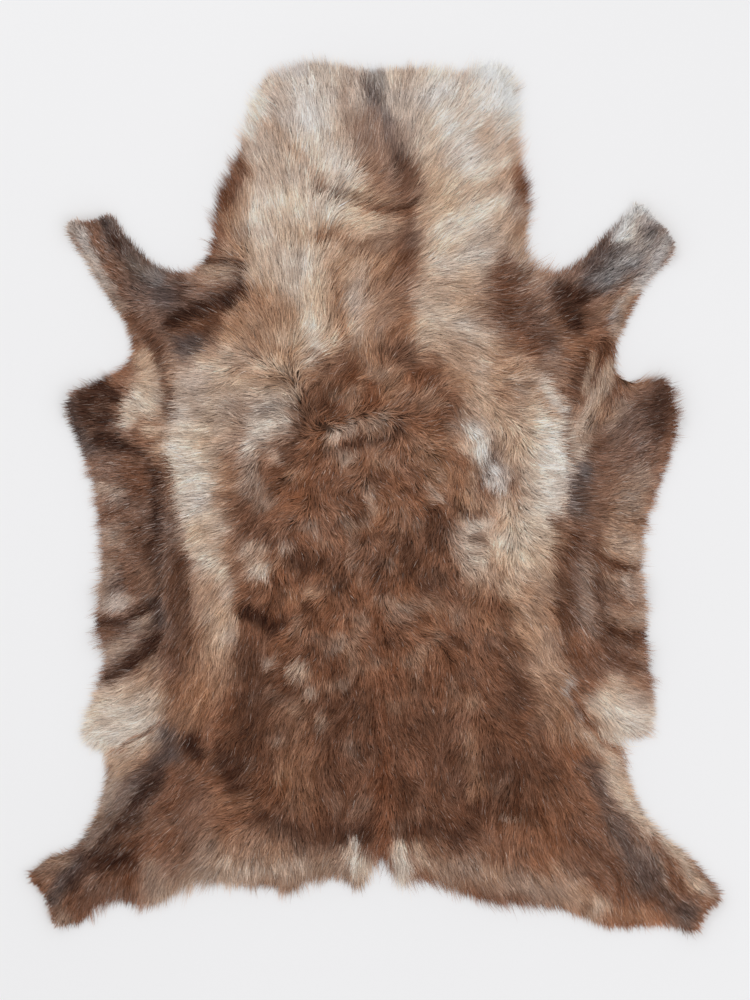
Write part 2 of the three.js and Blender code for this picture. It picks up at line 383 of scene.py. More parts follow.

# Every patch of colour, laid over the ones before it: its name, tone and strength, and its path as
# places (x, y) with the half width there. The dark patches in the armpits, folds, valleys and the pit
# of the back are painted shade.
MARKINGS = (
    # the broad ground of the coat
    patch("loin", Tone.BROWN, 1.0, (0, -190, 150), (0, -300, 170), (0, -420, 170)),
    patch("rump", Tone.DARK, 0.2, (-150, -330, 120), (150, -330, 120), (0, -400, 130)),
    patch("neck", Tone.CREAM, 1.0, (0, 610, 205), (0, 475, 210), (0, 370, 190)),
    patch("shoulders", Tone.SAND, 1.0, (0, 335, 180), (0, 240, 180)),
    patch("withers", Tone.TAN, 0.75, (15, 330, 60), (10, 250, 85), (0, 190, 110)),
    patch("left shoulder", Tone.SAND, 1.0, (-120, 240, 85), (-210, 160, 85), (-240, 95, 60)),
    patch("right shoulder", Tone.SAND, 1.0, (105, 250, 100), (180, 175, 85), (220, 105, 60)),
    patch("right shoulder, warm", Tone.OCHRE, 0.4, (160, 190, 60), (205, 115, 40)),
    patch("left band", Tone.PALE_SAND, 1.0, (-255, 65, 38), (-240, 15, 35), (-222, -100, 32)),
    patch("right band", Tone.PALE_SAND, 1.0, (240, 105, 30), (250, 55, 34), (220, -65, 40)),
    patch("back, left", Tone.BACK, 0.95, (-40, 160, 40), (-55, 95, 70), (-80, 15, 105), (-70, -85, 120)),
    patch("back, right", Tone.BACK, 0.95, (60, 160, 45), (65, 80, 65), (55, -35, 80), (50, -150, 115)),
    # neck
    patch("ashen top edge", Tone.ASH, 0.6, (-120, 600, 14), (-70, 605, 16), (-35, 590, 10)),
    patch("left of the stripe", Tone.COCOA, 0.4, (-35, 585, 15), (-40, 540, 16), (-25, 505, 22)),
    patch("right of the stripe", Tone.GREIGE, 0.35, (40, 590, 20), (30, 555, 20), (40, 515, 20)),
    patch("grey of the stripe", Tone.SLATE, 0.8, (0, 595, 12), (5, 565, 12)),
    patch("dark of the stripe", Tone.CHARCOAL, 0.9, (-15, 585, 8), (-5, 560, 12), (5, 540, 12)),
    patch("blue of the stripe", Tone.SLATE, 0.8, (5, 535, 9), (15, 515, 9)),
    patch("stripe", Tone.COCOA, 0.75, (0, 520, 16), (15, 490, 30), (25, 460, 30), (35, 435, 25)),
    patch("soft side of the stripe", Tone.COCOA, 0.6, (-15, 505, 20), (-10, 475, 20), (5, 445, 22)),
    patch("grey side of the stripe", Tone.CHARCOAL, 0.45, (15, 505, 11), (30, 475, 12)),
    patch("dark spot by the stripe", Tone.UMBER, 0.6, (30, 465, 11), (45, 455, 11)),
    patch("foot of the stripe", Tone.TAN, 0.3, (-5, 460, 16), (15, 425, 22)),
    patch("nape", Tone.BROWN, 0.85, (45, 445, 16), (50, 405, 20), (50, 375, 18), (40, 335, 15)),
    patch("grey of the nape", Tone.CHARCOAL, 0.4, (50, 390, 11), (45, 350, 11), (35, 325, 10)),
    patch("withers line", Tone.BACK, 0.65, (30, 330, 24), (30, 280, 22), (25, 225, 22)),
    patch("dark of the withers", Tone.BROWN, 0.35, (40, 325, 10), (30, 280, 10), (25, 230, 10)),
    patch("left of that line", Tone.TAN, 0.6, (-5, 340, 25), (5, 295, 28), (5, 245, 28)),
    patch("rust in the wrinkle", Tone.BROWN, 0.8, (-10, 405, 8), (20, 400, 12), (40, 395, 12)),
    patch("pale below the wrinkle", Tone.PALE_SAND, 0.5, (-65, 400, 12), (-15, 385, 14)),
    patch("second wrinkle", Tone.TAN, 0.75, (-75, 365, 10), (-55, 360, 10)),
    patch("below the second wrinkle", Tone.OCHRE, 0.55, (-40, 355, 11), (0, 335, 14)),
    patch("groove of the withers", Tone.OCHRE, 0.6, (-60, 330, 14), (-50, 235, 11), (-30, 205, 12)),
    patch("lobe of the withers", Tone.CREAM, 0.5, (-20, 325, 10), (-25, 280, 12), (-25, 230, 10)),
    patch("column of the shoulder", Tone.PALE_SAND, 0.6, (-105, 330, 25), (-95, 280, 22), (-90, 230, 16)),
    patch("hollow of the shoulder", Tone.IVORY, 0.75, (-90, 245, 8), (-90, 210, 11), (-90, 185, 8)),
    patch("left side, greige", Tone.GREIGE, 0.2, (-150, 455, 16), (-125, 440, 16)),
    patch("left side, streak", Tone.TAN, 0.3, (-140, 520, 7), (-120, 485, 8)),
    patch("left side, spot", Tone.COCOA, 0.4, (-165, 520, 8), (-160, 510, 8)),
    patch("left side, pale", Tone.IVORY, 0.6, (-160, 400, 25), (-155, 370, 20)),
    patch("left half, pale", Tone.IVORY, 0.75, (-95, 565, 16), (-80, 475, 22), (-55, 440, 26)),
    patch("left half, low", Tone.IVORY, 0.6, (-130, 405, 22), (-65, 405, 18)),
    patch("left foot, sandy", Tone.SAND, 0.5, (-170, 330, 30), (-160, 295, 25)),
    patch("left margin", Tone.IVORY, 0.85, (-160, 580, 14), (-175, 520, 14)),
    patch("right half, pale", Tone.IVORY, 0.75, (90, 565, 22), (90, 515, 22)),
    patch("right half, sandy", Tone.SAND, 0.7, (70, 490, 18), (75, 435, 22), (80, 315, 22)),
    patch("right side, streak", Tone.TAN, 0.2, (80, 465, 7), (110, 485, 8), (140, 505, 8)),
    patch("right side, grey streak", Tone.ASH, 0.5, (150, 485, 8), (175, 510, 8)),
    patch("right corner", Tone.IVORY, 0.9, (150, 560, 24), (185, 530, 22)),
    patch("right corner, white", Tone.WHITE, 1.0, (150, 595, 16), (180, 590, 26), (185, 555, 20)),
    patch("right side, pale", Tone.IVORY, 0.65,
          (145, 545, 14), (115, 490, 12), (145, 450, 12), (180, 470, 8)),
    patch("right foot, pale", Tone.IVORY, 0.8, (90, 370, 16), (135, 390, 20), (175, 405, 14)),
    patch("right foot, sandy", Tone.CREAM, 0.7, (90, 330, 22), (140, 340, 16)),
    patch("right edge, dark", Tone.BROWN, 0.85, (200, 460, 7), (205, 440, 14), (205, 415, 11)),
    patch("right edge, darkest", Tone.DARK, 0.6, (205, 445, 7), (205, 415, 6)),
    patch("right edge, tan", Tone.TAN, 0.5, (210, 400, 8), (205, 370, 10)),
    patch("left edge, dark", Tone.BROWN, 1.0,
          (-185, 475, 7), (-210, 405, 18), (-220, 365, 14), (-230, 340, 16)),
    patch("left edge, darkest", Tone.DARK, 0.7, (-205, 435, 8), (-215, 405, 10), (-215, 380, 8)),
    patch("left edge, soft side", Tone.OCHRE, 0.5, (-175, 460, 8), (-180, 420, 10), (-195, 380, 11)),
    patch("left edge, foot", Tone.TAN, 0.6, (-205, 365, 12), (-180, 330, 12)),
    # left foreleg and shoulder
    patch("left foreleg", Tone.COCOA, 1.0,
          (-390, 355, 42), (-345, 305, 52), (-295, 270, 52), (-215, 300, 30)),
    patch("left foreleg, charcoal", Tone.CHARCOAL, 0.85, (-370, 380, 16), (-320, 310, 25), (-280, 280, 20)),
    patch("left foreleg, silvered", Tone.SLATE, 0.6, (-335, 330, 10), (-300, 305, 11)),
    patch("left foreleg, umber", Tone.UMBER, 0.7, (-365, 365, 7), (-360, 350, 7)),
    patch("left foreleg, end", Tone.CHARCOAL, 0.7, (-390, 390, 10), (-370, 380, 10)),
    patch("left foreleg, pale rim", Tone.ASH, 0.85, (-430, 390, 14), (-410, 355, 13), (-370, 290, 9)),
    patch("left foreleg, streak", Tone.BROWN, 0.6, (-405, 390, 6), (-375, 320, 7), (-355, 285, 10)),
    patch("left foreleg, low rim", Tone.GREIGE, 0.8, (-370, 280, 10), (-350, 255, 11), (-320, 230, 10)),
    patch("left foreleg, low streak", Tone.BROWN, 0.95, (-345, 255, 7), (-325, 240, 11), (-300, 215, 11)),
    patch("left root", Tone.GREIGE, 0.95, (-225, 315, 18), (-190, 310, 14)),
    # painted shade in the crease of the left armpit and below it
    patch("left armpit", Tone.UMBER, 1.0, (-285, 240, 6), (-260, 255, 10), (-205, 275, 14), (-180, 285, 11)),
    patch("below the left armpit", Tone.DARK, 1.0, (-270, 230, 15), (-240, 225, 22), (-215, 250, 15)),
    patch("below it, greyed", Tone.CHARCOAL, 1.0, (-255, 210, 18), (-240, 215, 15)),
    patch("beside the left armpit", Tone.TAN, 0.9, (-160, 270, 24), (-190, 235, 20)),
    patch("behind the left foreleg", Tone.SAND, 0.9, (-320, 195, 12), (-315, 165, 18), (-320, 135, 20)),
    patch("left shoulder, ochre", Tone.OCHRE, 0.8, (-125, 255, 16), (-160, 235, 25), (-180, 210, 22)),
    patch("left shoulder, tan", Tone.TAN, 0.5, (-170, 215, 11), (-125, 205, 14)),
    patch("left shoulder, low tan", Tone.TAN, 0.55, (-190, 180, 11), (-160, 170, 12), (-120, 165, 14)),
    patch("left shoulder, pale", Tone.PALE_GREIGE, 0.75, (-245, 180, 22), (-260, 135, 22)),
    patch("left shoulder, greige", Tone.GREIGE, 0.6, (-230, 160, 18), (-200, 140, 16)),
    patch("left shoulder, spot", Tone.COCOA, 0.5, (-260, 190, 11)),
    patch("left shoulder, foot", Tone.PALE_SAND, 0.5, (-260, 105, 20), (-245, 85, 16)),
    patch("left shoulder, arc", Tone.TAN, 0.35, (-240, 80, 7), (-205, 85, 8)),
    patch("pale patch by the back", Tone.PALE_SAND, 0.9, (-150, 110, 24), (-125, 130, 24)),
    patch("its foot", Tone.PALE_SAND, 0.8, (-160, 105, 11), (-160, 85, 10), (-175, 65, 10)),
    patch("below it", Tone.PALE_GREIGE, 0.6, (-175, 55, 12), (-180, 15, 12)),
    patch("beside it", Tone.PALE_GREIGE, 0.6, (-150, 65, 11), (-140, 55, 8)),
    # right foreleg and shoulder
    patch("right shoulder, tan", Tone.OCHRE, 0.4, (90, 295, 25), (135, 270, 22)),
    patch("right shoulder, pale", Tone.PALE_SAND, 0.5, (75, 245, 20), (135, 230, 22)),
    patch("right shoulder, ochre", Tone.OCHRE, 0.7, (170, 180, 16), (185, 145, 16)),
    patch("right shoulder, greige", Tone.PALE_GREIGE, 0.5, (145, 190, 16), (145, 140, 16)),
    patch("right shoulder, brown", Tone.BROWN, 1.0,
          (175, 320, 20), (180, 280, 38), (210, 235, 40), (245, 195, 30), (260, 155, 14)),
    patch("right shoulder, dark side", Tone.DARK, 0.7, (180, 280, 14), (185, 250, 14)),
    patch("right shoulder, charcoal", Tone.CHARCOAL, 0.5, (225, 245, 22), (240, 215, 16)),
    patch("right shoulder, greyed", Tone.GREIGE, 0.5, (240, 190, 16), (260, 165, 11)),
    patch("right shoulder, ashen edge", Tone.GREIGE, 0.6, (170, 330, 10)),
    patch("right shoulder, dark top", Tone.DARK, 0.7, (205, 320, 11), (205, 295, 11)),
    patch("right shoulder, cream", Tone.CREAM, 0.95, (230, 165, 7), (240, 145, 11), (255, 125, 10)),
    patch("right foreleg", Tone.COCOA, 1.0, (275, 295, 36), (320, 315, 48), (370, 365, 45)),
    patch("right foreleg, charcoal", Tone.CHARCOAL, 0.85, (345, 355, 14), (315, 325, 18), (295, 290, 15)),
    patch("right foreleg, slate", Tone.SLATE, 0.9, (380, 370, 20), (350, 335, 20), (315, 300, 13)),
    patch("right foreleg, silvered", Tone.ASH, 0.5, (375, 360, 9), (345, 335, 9)),
    patch("right foreleg, top edge", Tone.CHARCOAL, 0.7, (350, 400, 6), (320, 360, 7), (295, 330, 7)),
    patch("right foreleg, white", Tone.WHITE, 0.9, (375, 415, 14), (360, 395, 11), (342, 365, 9)),
    patch("right foreleg, beside the white", Tone.CHARCOAL, 0.3, (385, 385, 7), (370, 370, 8)),
    patch("right foreleg, tip", Tone.WHITE, 0.9, (380, 410, 13), (400, 390, 8)),
    patch("right foreleg, end", Tone.ASH, 0.95, (415, 365, 14), (395, 340, 13), (365, 305, 10)),
    patch("right foreleg, tan side", Tone.OCHRE, 0.6, (365, 295, 7), (335, 275, 9), (310, 255, 10)),
    patch("right foreleg, pale side", Tone.ASH, 0.85, (370, 310, 8), (340, 270, 9), (330, 245, 8)),
    patch("right foreleg, root", Tone.COCOA, 0.8, (300, 240, 14)),
    patch("right foreleg, low rim", Tone.GREIGE, 0.8, (355, 275, 10), (340, 225, 11)),
    # painted shade in the right armpit and in the folds behind it
    patch("right armpit", Tone.UMBER, 1.0, (260, 295, 12), (270, 265, 20), (275, 240, 14)),
    patch("beside the right armpit", Tone.UMBER, 0.8, (285, 280, 10)),
    patch("fold behind it", Tone.DARK, 0.7, (320, 215, 10), (310, 190, 7), (300, 165, 5)),
    patch("second fold behind it", Tone.DARK, 0.65, (295, 210, 8), (285, 175, 8), (275, 145, 7)),
    patch("between the folds", Tone.SAND, 0.8, (305, 195, 6), (295, 155, 6)),
    patch("behind the right foreleg", Tone.PALE_SAND, 0.7, (330, 190, 8), (315, 155, 13), (290, 100, 12)),
    # left flap
    patch("left flap", Tone.COCOA, 1.0,
          (-405, 135, 28), (-375, 70, 45), (-350, 0, 50), (-340, -170, 52), (-355, -225, 40)),
    patch("left valley", Tone.COCOA, 1.0,
          (-295, 25, 14), (-285, -60, 20), (-280, -140, 25), (-285, -210, 30)),
    patch("left flap, corner", Tone.UMBER, 1.0, (-400, 150, 12), (-380, 155, 15), (-355, 145, 10)),
    patch("left flap, grey edge", Tone.CHARCOAL, 1.0, (-425, 135, 11), (-415, 100, 12), (-400, 70, 12)),
    patch("left flap, below the corner", Tone.UMBER, 1.0, (-395, 120, 20), (-380, 110, 14)),
    # painted shade in the top fold
    patch("left flap, top fold", Tone.UMBER, 0.95, (-385, 85, 11), (-365, 75, 12), (-315, 65, 6)),
    patch("left flap, pale root", Tone.PALE_SAND, 0.95, (-355, 105, 6), (-335, 125, 15), (-315, 135, 18)),
    patch("left flap, sandy root", Tone.SAND, 0.9, (-315, 95, 11)),
    patch("left flap, rust", Tone.BROWN, 1.0, (-340, 45, 20), (-330, 20, 18)),
    patch("left flap, first grey", Tone.PALE_GREIGE, 0.7, (-380, 15, 11), (-360, 10, 12)),
    patch("left flap, first dark", Tone.DARK, 0.7, (-385, -25, 6), (-350, -20, 6)),
    patch("left flap, second grey", Tone.PALE_GREIGE, 0.6, (-365, -55, 15)),
    patch("left flap, second dark", Tone.DARK, 0.65, (-325, -40, 12), (-320, -75, 11)),
    patch("left flap, third grey", Tone.GREIGE, 0.6, (-375, -95, 15), (-375, -120, 15)),
    patch("left flap, brown", Tone.BROWN, 0.6, (-335, -110, 14)),
    patch("left flap, fourth grey", Tone.PALE_GREIGE, 0.9, (-375, -145, 11), (-345, -140, 11)),
    # painted shade in the fold between the flap's ripples
    patch("left flap, middle fold", Tone.UMBER, 0.6, (-390, -170, 7), (-345, -170, 7), (-310, -150, 7)),
    patch("left flap, its end", Tone.CHARCOAL, 0.8, (-310, -140, 10), (-305, -170, 11)),
    patch("left flap, lobe", Tone.GREIGE, 0.9, (-325, -175, 12)),
    patch("left flap, below it", Tone.BROWN, 0.7, (-370, -190, 8)),
    patch("left flap, fifth grey", Tone.GREIGE, 0.8, (-370, -215, 15), (-345, -205, 15)),
    # painted shade in the low fold
    patch("left flap, low fold", Tone.UMBER, 0.9, (-370, -250, 8), (-345, -230, 10), (-305, -195, 11)),
    patch("left flap, low edge", Tone.BROWN, 0.8, (-380, -240, 7), (-380, -265, 7)),
    patch("left flap, margin", Tone.PALE_GREIGE, 0.5, (-395, -20, 9), (-395, -90, 11), (-390, -150, 9)),
    patch("below the low fold", Tone.GREIGE, 0.6, (-310, -235, 12)),
    # painted shade along the crease of the left valley
    patch("left valley, dark", Tone.DARK, 0.95, (-275, -85, 12), (-275, -140, 15), (-260, -190, 12)),
    patch("left valley, low", Tone.DARK, 0.95, (-275, -215, 20)),
    patch("left valley, line", Tone.UMBER, 0.75, (-310, 50, 7), (-300, -45, 6), (-305, -85, 5)),
    patch("left flap, foot", Tone.PALE_SAND, 1.0,
          (-410, -320, 26), (-365, -295, 36), (-330, -295, 38), (-320, -320, 30), (-385, -345, 24)),
    patch("left flap, sandy foot", Tone.SAND, 0.7, (-335, -265, 22)),
    patch("left flap, pale foot", Tone.IVORY, 0.7, (-405, -330, 20), (-365, -340, 18)),
    patch("beside the left foot", Tone.SAND, 0.6, (-300, -280, 20)),
    # right flap
    patch("right flap", Tone.COCOA, 1.0,
          (370, 140, 36), (355, 70, 52), (340, 0, 52), (340, -170, 50), (355, -235, 36)),
    patch("right flap, lighter", Tone.OCHRE, 0.7, (345, 0, 36), (350, -90, 36), (350, -160, 32)),
    patch("right valley", Tone.COCOA, 1.0, (285, 40, 14), (280, -60, 18), (285, -150, 22)),
    patch("right flap, corner", Tone.UMBER, 0.7, (400, 155, 18), (395, 125, 26), (390, 100, 18)),
    patch("right flap, rust top", Tone.TAN, 0.6, (355, 160, 8), (380, 165, 8)),
    patch("right flap, ochre", Tone.GREIGE, 0.7, (345, 135, 12), (325, 110, 11)),
    patch("right flap, root", Tone.GREIGE, 0.8, (300, 100, 12), (285, 70, 11)),
    # painted shade in the top crease
    patch("right flap, top crease", Tone.DARK, 0.7, (325, 90, 7), (305, 75, 7), (280, 55, 6)),
    patch("right flap, rust", Tone.BROWN, 0.45, (340, 70, 20), (325, 25, 20), (320, -10, 14)),
    patch("right flap, first grey", Tone.GREIGE, 0.6, (365, 25, 16), (355, -15, 16)),
    patch("right flap, second grey", Tone.PALE_GREIGE, 0.75, (340, -55, 16), (365, -70, 14)),
    # painted shade along the flap's crease and in its middle fold
    patch("right flap, inner line", Tone.DARK, 0.8, (300, -55, 6), (305, -100, 8), (315, -140, 7)),
    patch("right flap, middle fold", Tone.DARK, 0.9, (310, -80, 7), (330, -95, 8), (355, -100, 6)),
    patch("right flap, third grey", Tone.PALE_GREIGE, 0.75, (355, -120, 14)),
    patch("right flap, fourth grey", Tone.GREIGE, 0.6, (365, -160, 11)),
    patch("right flap, brown", Tone.BROWN, 0.5, (330, -140, 11), (355, -145, 7)),
    # painted shade in the low fold and under it
    patch("right flap, low fold", Tone.DARK, 0.9, (315, -185, 11), (335, -185, 11), (375, -195, 7)),
    patch("right flap, under the fold", Tone.DARK, 0.9, (330, -215, 15), (355, -235, 15)),
    patch("right flap, tan edge", Tone.TAN, 0.5, (370, -215, 10)),
    patch("right flap, margin", Tone.PALE_GREIGE, 0.65, (380, -70, 13), (385, -125, 13), (385, -165, 10)),
    patch("right valley, charcoal", Tone.CHARCOAL, 0.8, (285, 40, 11), (280, -15, 11)),
    patch("right valley, slate", Tone.SLATE, 0.4, (285, 40, 7), (280, -15, 7)),
    # painted shade along the crease of the right valley
    patch("right valley, dark", Tone.DARK, 0.9, (275, -50, 12), (260, -105, 13), (270, -160, 12)),
    patch("beside the right valley", Tone.DARK, 0.8, (255, -30, 9), (250, -90, 11), (255, -140, 10)),
    patch("right valley, greyed", Tone.GREIGE, 0.5, (295, -85, 8), (295, -140, 11), (305, -180, 10)),
    patch("right valley, low", Tone.BROWN, 0.8, (295, -210, 15), (280, -235, 14)),
    patch("right flap, foot", Tone.PALE_SAND, 0.9,
          (310, -280, 20), (340, -300, 36), (365, -305, 32), (345, -330, 28), (320, -330, 20)),
    patch("right flap, sandy foot", Tone.SAND, 0.7, (325, -260, 18)),
    patch("right flap, above the foot", Tone.TAN, 0.5, (355, -255, 16)),
    # the bands along the flanks
    patch("left band, ivory", Tone.IVORY, 0.65,
          (-275, 65, 12), (-255, 40, 22), (-250, 5, 20), (-250, -15, 14)),
    patch("left band, sand", Tone.SAND, 0.6, (-235, -45, 25), (-235, -75, 20)),
    patch("left band, pale", Tone.PALE_SAND, 1.0, (-235, -90, 18), (-210, -95, 12)),
    patch("left band, foot", Tone.OCHRE, 0.8, (-235, -120, 22), (-225, -150, 35), (-220, -235, 30)),
    patch("left band, silver rim", Tone.PALE_GREIGE, 0.8,
          (-205, -130, 11), (-200, -160, 11), (-205, -185, 11)),
    patch("left band, sandy foot", Tone.SAND, 0.7, (-225, -155, 18), (-220, -195, 16), (-225, -225, 14)),
    patch("left band, low foot", Tone.TAN, 0.8, (-225, -240, 25), (-250, -270, 30), (-265, -300, 22)),
    patch("left band, inner side", Tone.OCHRE, 0.4, (-200, 25, 11), (-195, -30, 11)),
    patch("beside the left band", Tone.BROWN, 0.35, (-190, 0, 10), (-185, -100, 9)),
    patch("right band, ivory", Tone.IVORY, 0.7, (240, 95, 16), (255, 55, 22), (250, 15, 18)),
    patch("right band, inner side", Tone.PALE_SAND, 0.6, (215, 30, 18)),
    patch("right band, sand", Tone.SAND, 0.8, (225, -65, 30), (215, -120, 30)),
    patch("right band, foot", Tone.OCHRE, 0.95, (215, -140, 35), (220, -190, 34), (250, -270, 22)),
    patch("beside the right band", Tone.DARK, 0.6, (170, -150, 12), (180, -190, 16), (210, -275, 15)),
    patch("right band, rust foot", Tone.TAN, 0.85, (245, -260, 18), (240, -285, 20), (260, -320, 20)),
    patch("silver below it", Tone.SILVER, 0.6, (265, -255, 4), (275, -280, 4), (285, -300, 4)),
    # back
    patch("head of the back, dark", Tone.DARK, 0.55, (-100, 125, 16), (-70, 135, 16), (-35, 140, 11)),
    patch("head of the back, left", Tone.BROWN, 0.3, (-40, 195, 14), (-70, 175, 22), (-95, 150, 18)),
    patch("head of the back, middle", Tone.BROWN, 0.45, (-30, 190, 11), (-40, 160, 16)),
    patch("head of the back, tongue", Tone.TAN, 0.8, (-5, 205, 10), (0, 175, 12), (15, 145, 8)),
    patch("head of the back, rust", Tone.RUST, 0.6, (-15, 150, 14), (-5, 130, 14)),
    patch("head of the back, right", Tone.BROWN, 0.6, (20, 195, 16), (40, 210, 16), (95, 155, 24)),
    patch("its dark side", Tone.DARK, 0.6, (30, 205, 11), (40, 190, 11), (60, 170, 14)),
    patch("right of the head", Tone.OCHRE, 0.6, (110, 210, 20), (120, 165, 16)),
    patch("right of the head, brown", Tone.BROWN, 0.6, (90, 140, 20), (110, 110, 16)),
    patch("first tuft", Tone.PALE_GREIGE, 0.9, (-55, 95, 13)),
    patch("second tuft", Tone.PALE_GREIGE, 0.85, (-30, 100, 11)),
    patch("third tuft", Tone.GREIGE, 0.5, (0, 105, 8), (20, 115, 8)),
    patch("under the crease", Tone.PALE_GREIGE, 0.75, (-40, 55, 14)),
    patch("middle tuft", Tone.PALE_GREIGE, 0.65, (-5, 15, 12), (0, -10, 9)),
    patch("dark above it", Tone.DARK, 0.7, (5, 35, 11)),
    patch("dark beside it", Tone.DARK, 0.7, (-20, 0, 8), (-15, -20, 8)),
    patch("right of the middle", Tone.TAN, 0.4, (20, -10, 20), (35, -45, 20)),
    patch("dark tufts, right", Tone.DARK, 0.8, (80, -15, 11), (85, -50, 20)),
    patch("dark tufts, low right", Tone.DARK, 0.6, (55, -75, 16), (40, -105, 11)),
    patch("darkest, low right", Tone.UMBER, 0.6, (70, -120, 14)),
    patch("dark tufts, low middle", Tone.DARK, 0.6, (-5, -85, 11), (10, -115, 10)),
    patch("dark tufts, low left", Tone.UMBER, 0.8, (-105, -85, 18)),
    patch("around them", Tone.DARK, 0.6, (-120, -70, 14), (-70, -85, 11)),
    patch("slate tuft, low left", Tone.CHARCOAL, 0.6, (-50, -120, 16)),
    patch("pale tuft, left", Tone.PALE_GREIGE, 0.8, (-125, -65, 11)),
    patch("pale tuft, far left", Tone.PALE_GREIGE, 0.9, (-170, -70, 16)),
    patch("cream tuft, left", Tone.CREAM, 0.9, (-160, -100, 15)),
    patch("ochre tuft", Tone.OCHRE, 0.9, (-85, -125, 12)),
    patch("tan, low left", Tone.TAN, 0.6, (-125, -130, 12), (-105, -140, 11)),
    patch("dark foot of the tan", Tone.UMBER, 0.7, (-100, -145, 8)),
    # painted shade in the pit and beside it
    patch("pit", Tone.UMBER, 1.0, (-175, -160, 11), (-160, -165, 11)),
    patch("beside the pit", Tone.UMBER, 0.8, (-140, -180, 11), (-125, -170, 8)),
    patch("grey streak, middle", Tone.GREIGE, 0.4, (-40, -30, 8), (-30, -65, 11)),
    patch("grey streak, low right", Tone.GREIGE, 0.5, (35, -140, 6), (50, -160, 6)),
    patch("tan, right", Tone.OCHRE, 0.6, (70, 60, 28), (90, 35, 25)),
    patch("grey streak, right", Tone.PALE_GREIGE, 0.6, (75, 15, 7), (95, 5, 6)),
    patch("dark curl, left", Tone.DARK, 0.45, (-115, 70, 8), (-130, 40, 8), (-120, 15, 8)),
    patch("grey tufts, left", Tone.GREIGE, 0.7, (-170, 25, 15), (-155, 0, 14)),
    patch("brown, left", Tone.BROWN, 0.5, (-160, -30, 20)),
    patch("pale patch, right", Tone.IVORY, 1.0, (130, 105, 10), (145, 85, 18), (160, 50, 16), (175, 20, 10)),
    patch("its side", Tone.CREAM, 0.6, (125, 70, 10)),
    patch("under the pale patch", Tone.OCHRE, 0.7, (140, 35, 14)),
    patch("beside the pale patch", Tone.SAND, 0.6, (180, 85, 18), (190, 40, 18)),
    patch("below the pale patch", Tone.OCHRE, 0.7, (160, 0, 16), (125, -10, 18)),
    patch("sand, right", Tone.SAND, 0.9, (180, -10, 18)),
    patch("greige, low right", Tone.PALE_SAND, 0.85, (135, -50, 28), (145, -90, 22)),
    patch("pale sand, low right", Tone.PALE_SAND, 0.95, (190, -55, 28)),
    patch("cream line, low right", Tone.CREAM, 0.6, (125, -35, 6), (160, -30, 6)),
    patch("ochre, low right", Tone.OCHRE, 0.7, (145, -115, 20)),
    patch("sand, low right", Tone.SAND, 0.7, (185, -110, 20)),
    patch("tan, low right", Tone.TAN, 0.5, (130, -150, 16), (150, -170, 14)),
    # loin and rump
    patch("left of the loin, dark", Tone.DARK, 0.8, (-175, -195, 16), (-180, -310, 22), (-190, -400, 24)),
    patch("left of the loin, darkest", Tone.UMBER, 0.7, (-210, -365, 20), (-190, -395, 20)),
    patch("loin, pale spot", Tone.PALE_GREIGE, 0.8, (-145, -225, 10)),
    patch("loin, second pale spot", Tone.CREAM, 0.8, (-105, -245, 13)),
    patch("loin, third pale spot", Tone.PALE_GREIGE, 0.8, (-85, -270, 9)),
    patch("loin, grey streak", Tone.GREIGE, 0.6, (-55, -260, 6), (-40, -255, 6)),
    patch("loin, second grey streak", Tone.GREIGE, 0.8, (-75, -300, 7), (-70, -315, 7)),
    patch("loin, slate", Tone.SLATE, 0.4, (-65, -210, 8), (-50, -195, 8)),
    patch("loin, dark", Tone.DARK, 0.45, (-50, -310, 22), (-25, -280, 20), (-45, -230, 14)),
    patch("rump, grey spot", Tone.GREIGE, 0.5, (-30, -345, 11)),
    patch("rump, warm left", Tone.TAN, 0.55, (-115, -300, 26), (-110, -370, 30), (-105, -410, 24)),
    patch("rump, ochre", Tone.OCHRE, 0.7, (-110, -290, 12)),
    patch("rump, pale spot", Tone.PALE_GREIGE, 0.45, (-135, -335, 9)),
    patch("rump, low ochre", Tone.OCHRE, 0.6, (-130, -385, 12)),
    patch("haunch, tan", Tone.TAN, 0.35, (-215, -425, 12), (-180, -420, 16)),
    patch("rump, right ground", Tone.BROWN, 0.5, (45, -280, 45), (75, -360, 50), (95, -400, 40)),
    patch("rump, right ochre", Tone.OCHRE, 0.6, (135, -280, 14)),
    patch("rump, tan streak", Tone.TAN, 0.8, (135, -325, 12), (140, -405, 13)),
    patch("rump, dark middle", Tone.DARK, 0.9, (50, -395, 16), (40, -420, 14)),
    patch("rump, right dark", Tone.UMBER, 0.4, (175, -380, 30), (205, -370, 30), (180, -405, 25)),
    patch("rump, beside it", Tone.DARK, 0.6, (245, -385, 28)),
    patch("rump, right top", Tone.DARK, 0.7, (190, -265, 20), (180, -300, 22)),
    patch("rump, right rust", Tone.DARK, 0.9, (175, -440, 12), (215, -440, 22)),
    patch("low on the rump, left", Tone.UMBER, 0.55, (-160, -440, 11), (-90, -475, 15), (-10, -460, 14)),
    patch("low on the rump, right", Tone.UMBER, 0.5, (35, -460, 14), (105, -470, 14), (150, -430, 14)),
    patch("left edge of the rump", Tone.GREIGE, 0.8,
          (-300, -535, 26), (-230, -510, 46), (-160, -510, 44), (-40, -515, 28)),
    patch("left edge, tan", Tone.TAN, 0.5, (-190, -475, 24), (-130, -490, 20)),
    patch("left edge, cream spot", Tone.CREAM, 0.5, (-210, -505, 8)),
    patch("left edge, pale", Tone.PALE_GREIGE, 0.5, (-275, -545, 14), (-145, -520, 10), (-105, -510, 10)),
    patch("right edge of the rump", Tone.GREIGE, 0.65, (100, -515, 24), (160, -525, 34), (295, -555, 22)),
    patch("above the right edge", Tone.BACK, 0.8, (165, -485, 20), (215, -480, 24), (255, -500, 24)),
    patch("right edge, dark rim", Tone.BROWN, 0.8, (120, -550, 8), (175, -565, 10), (225, -570, 8)),
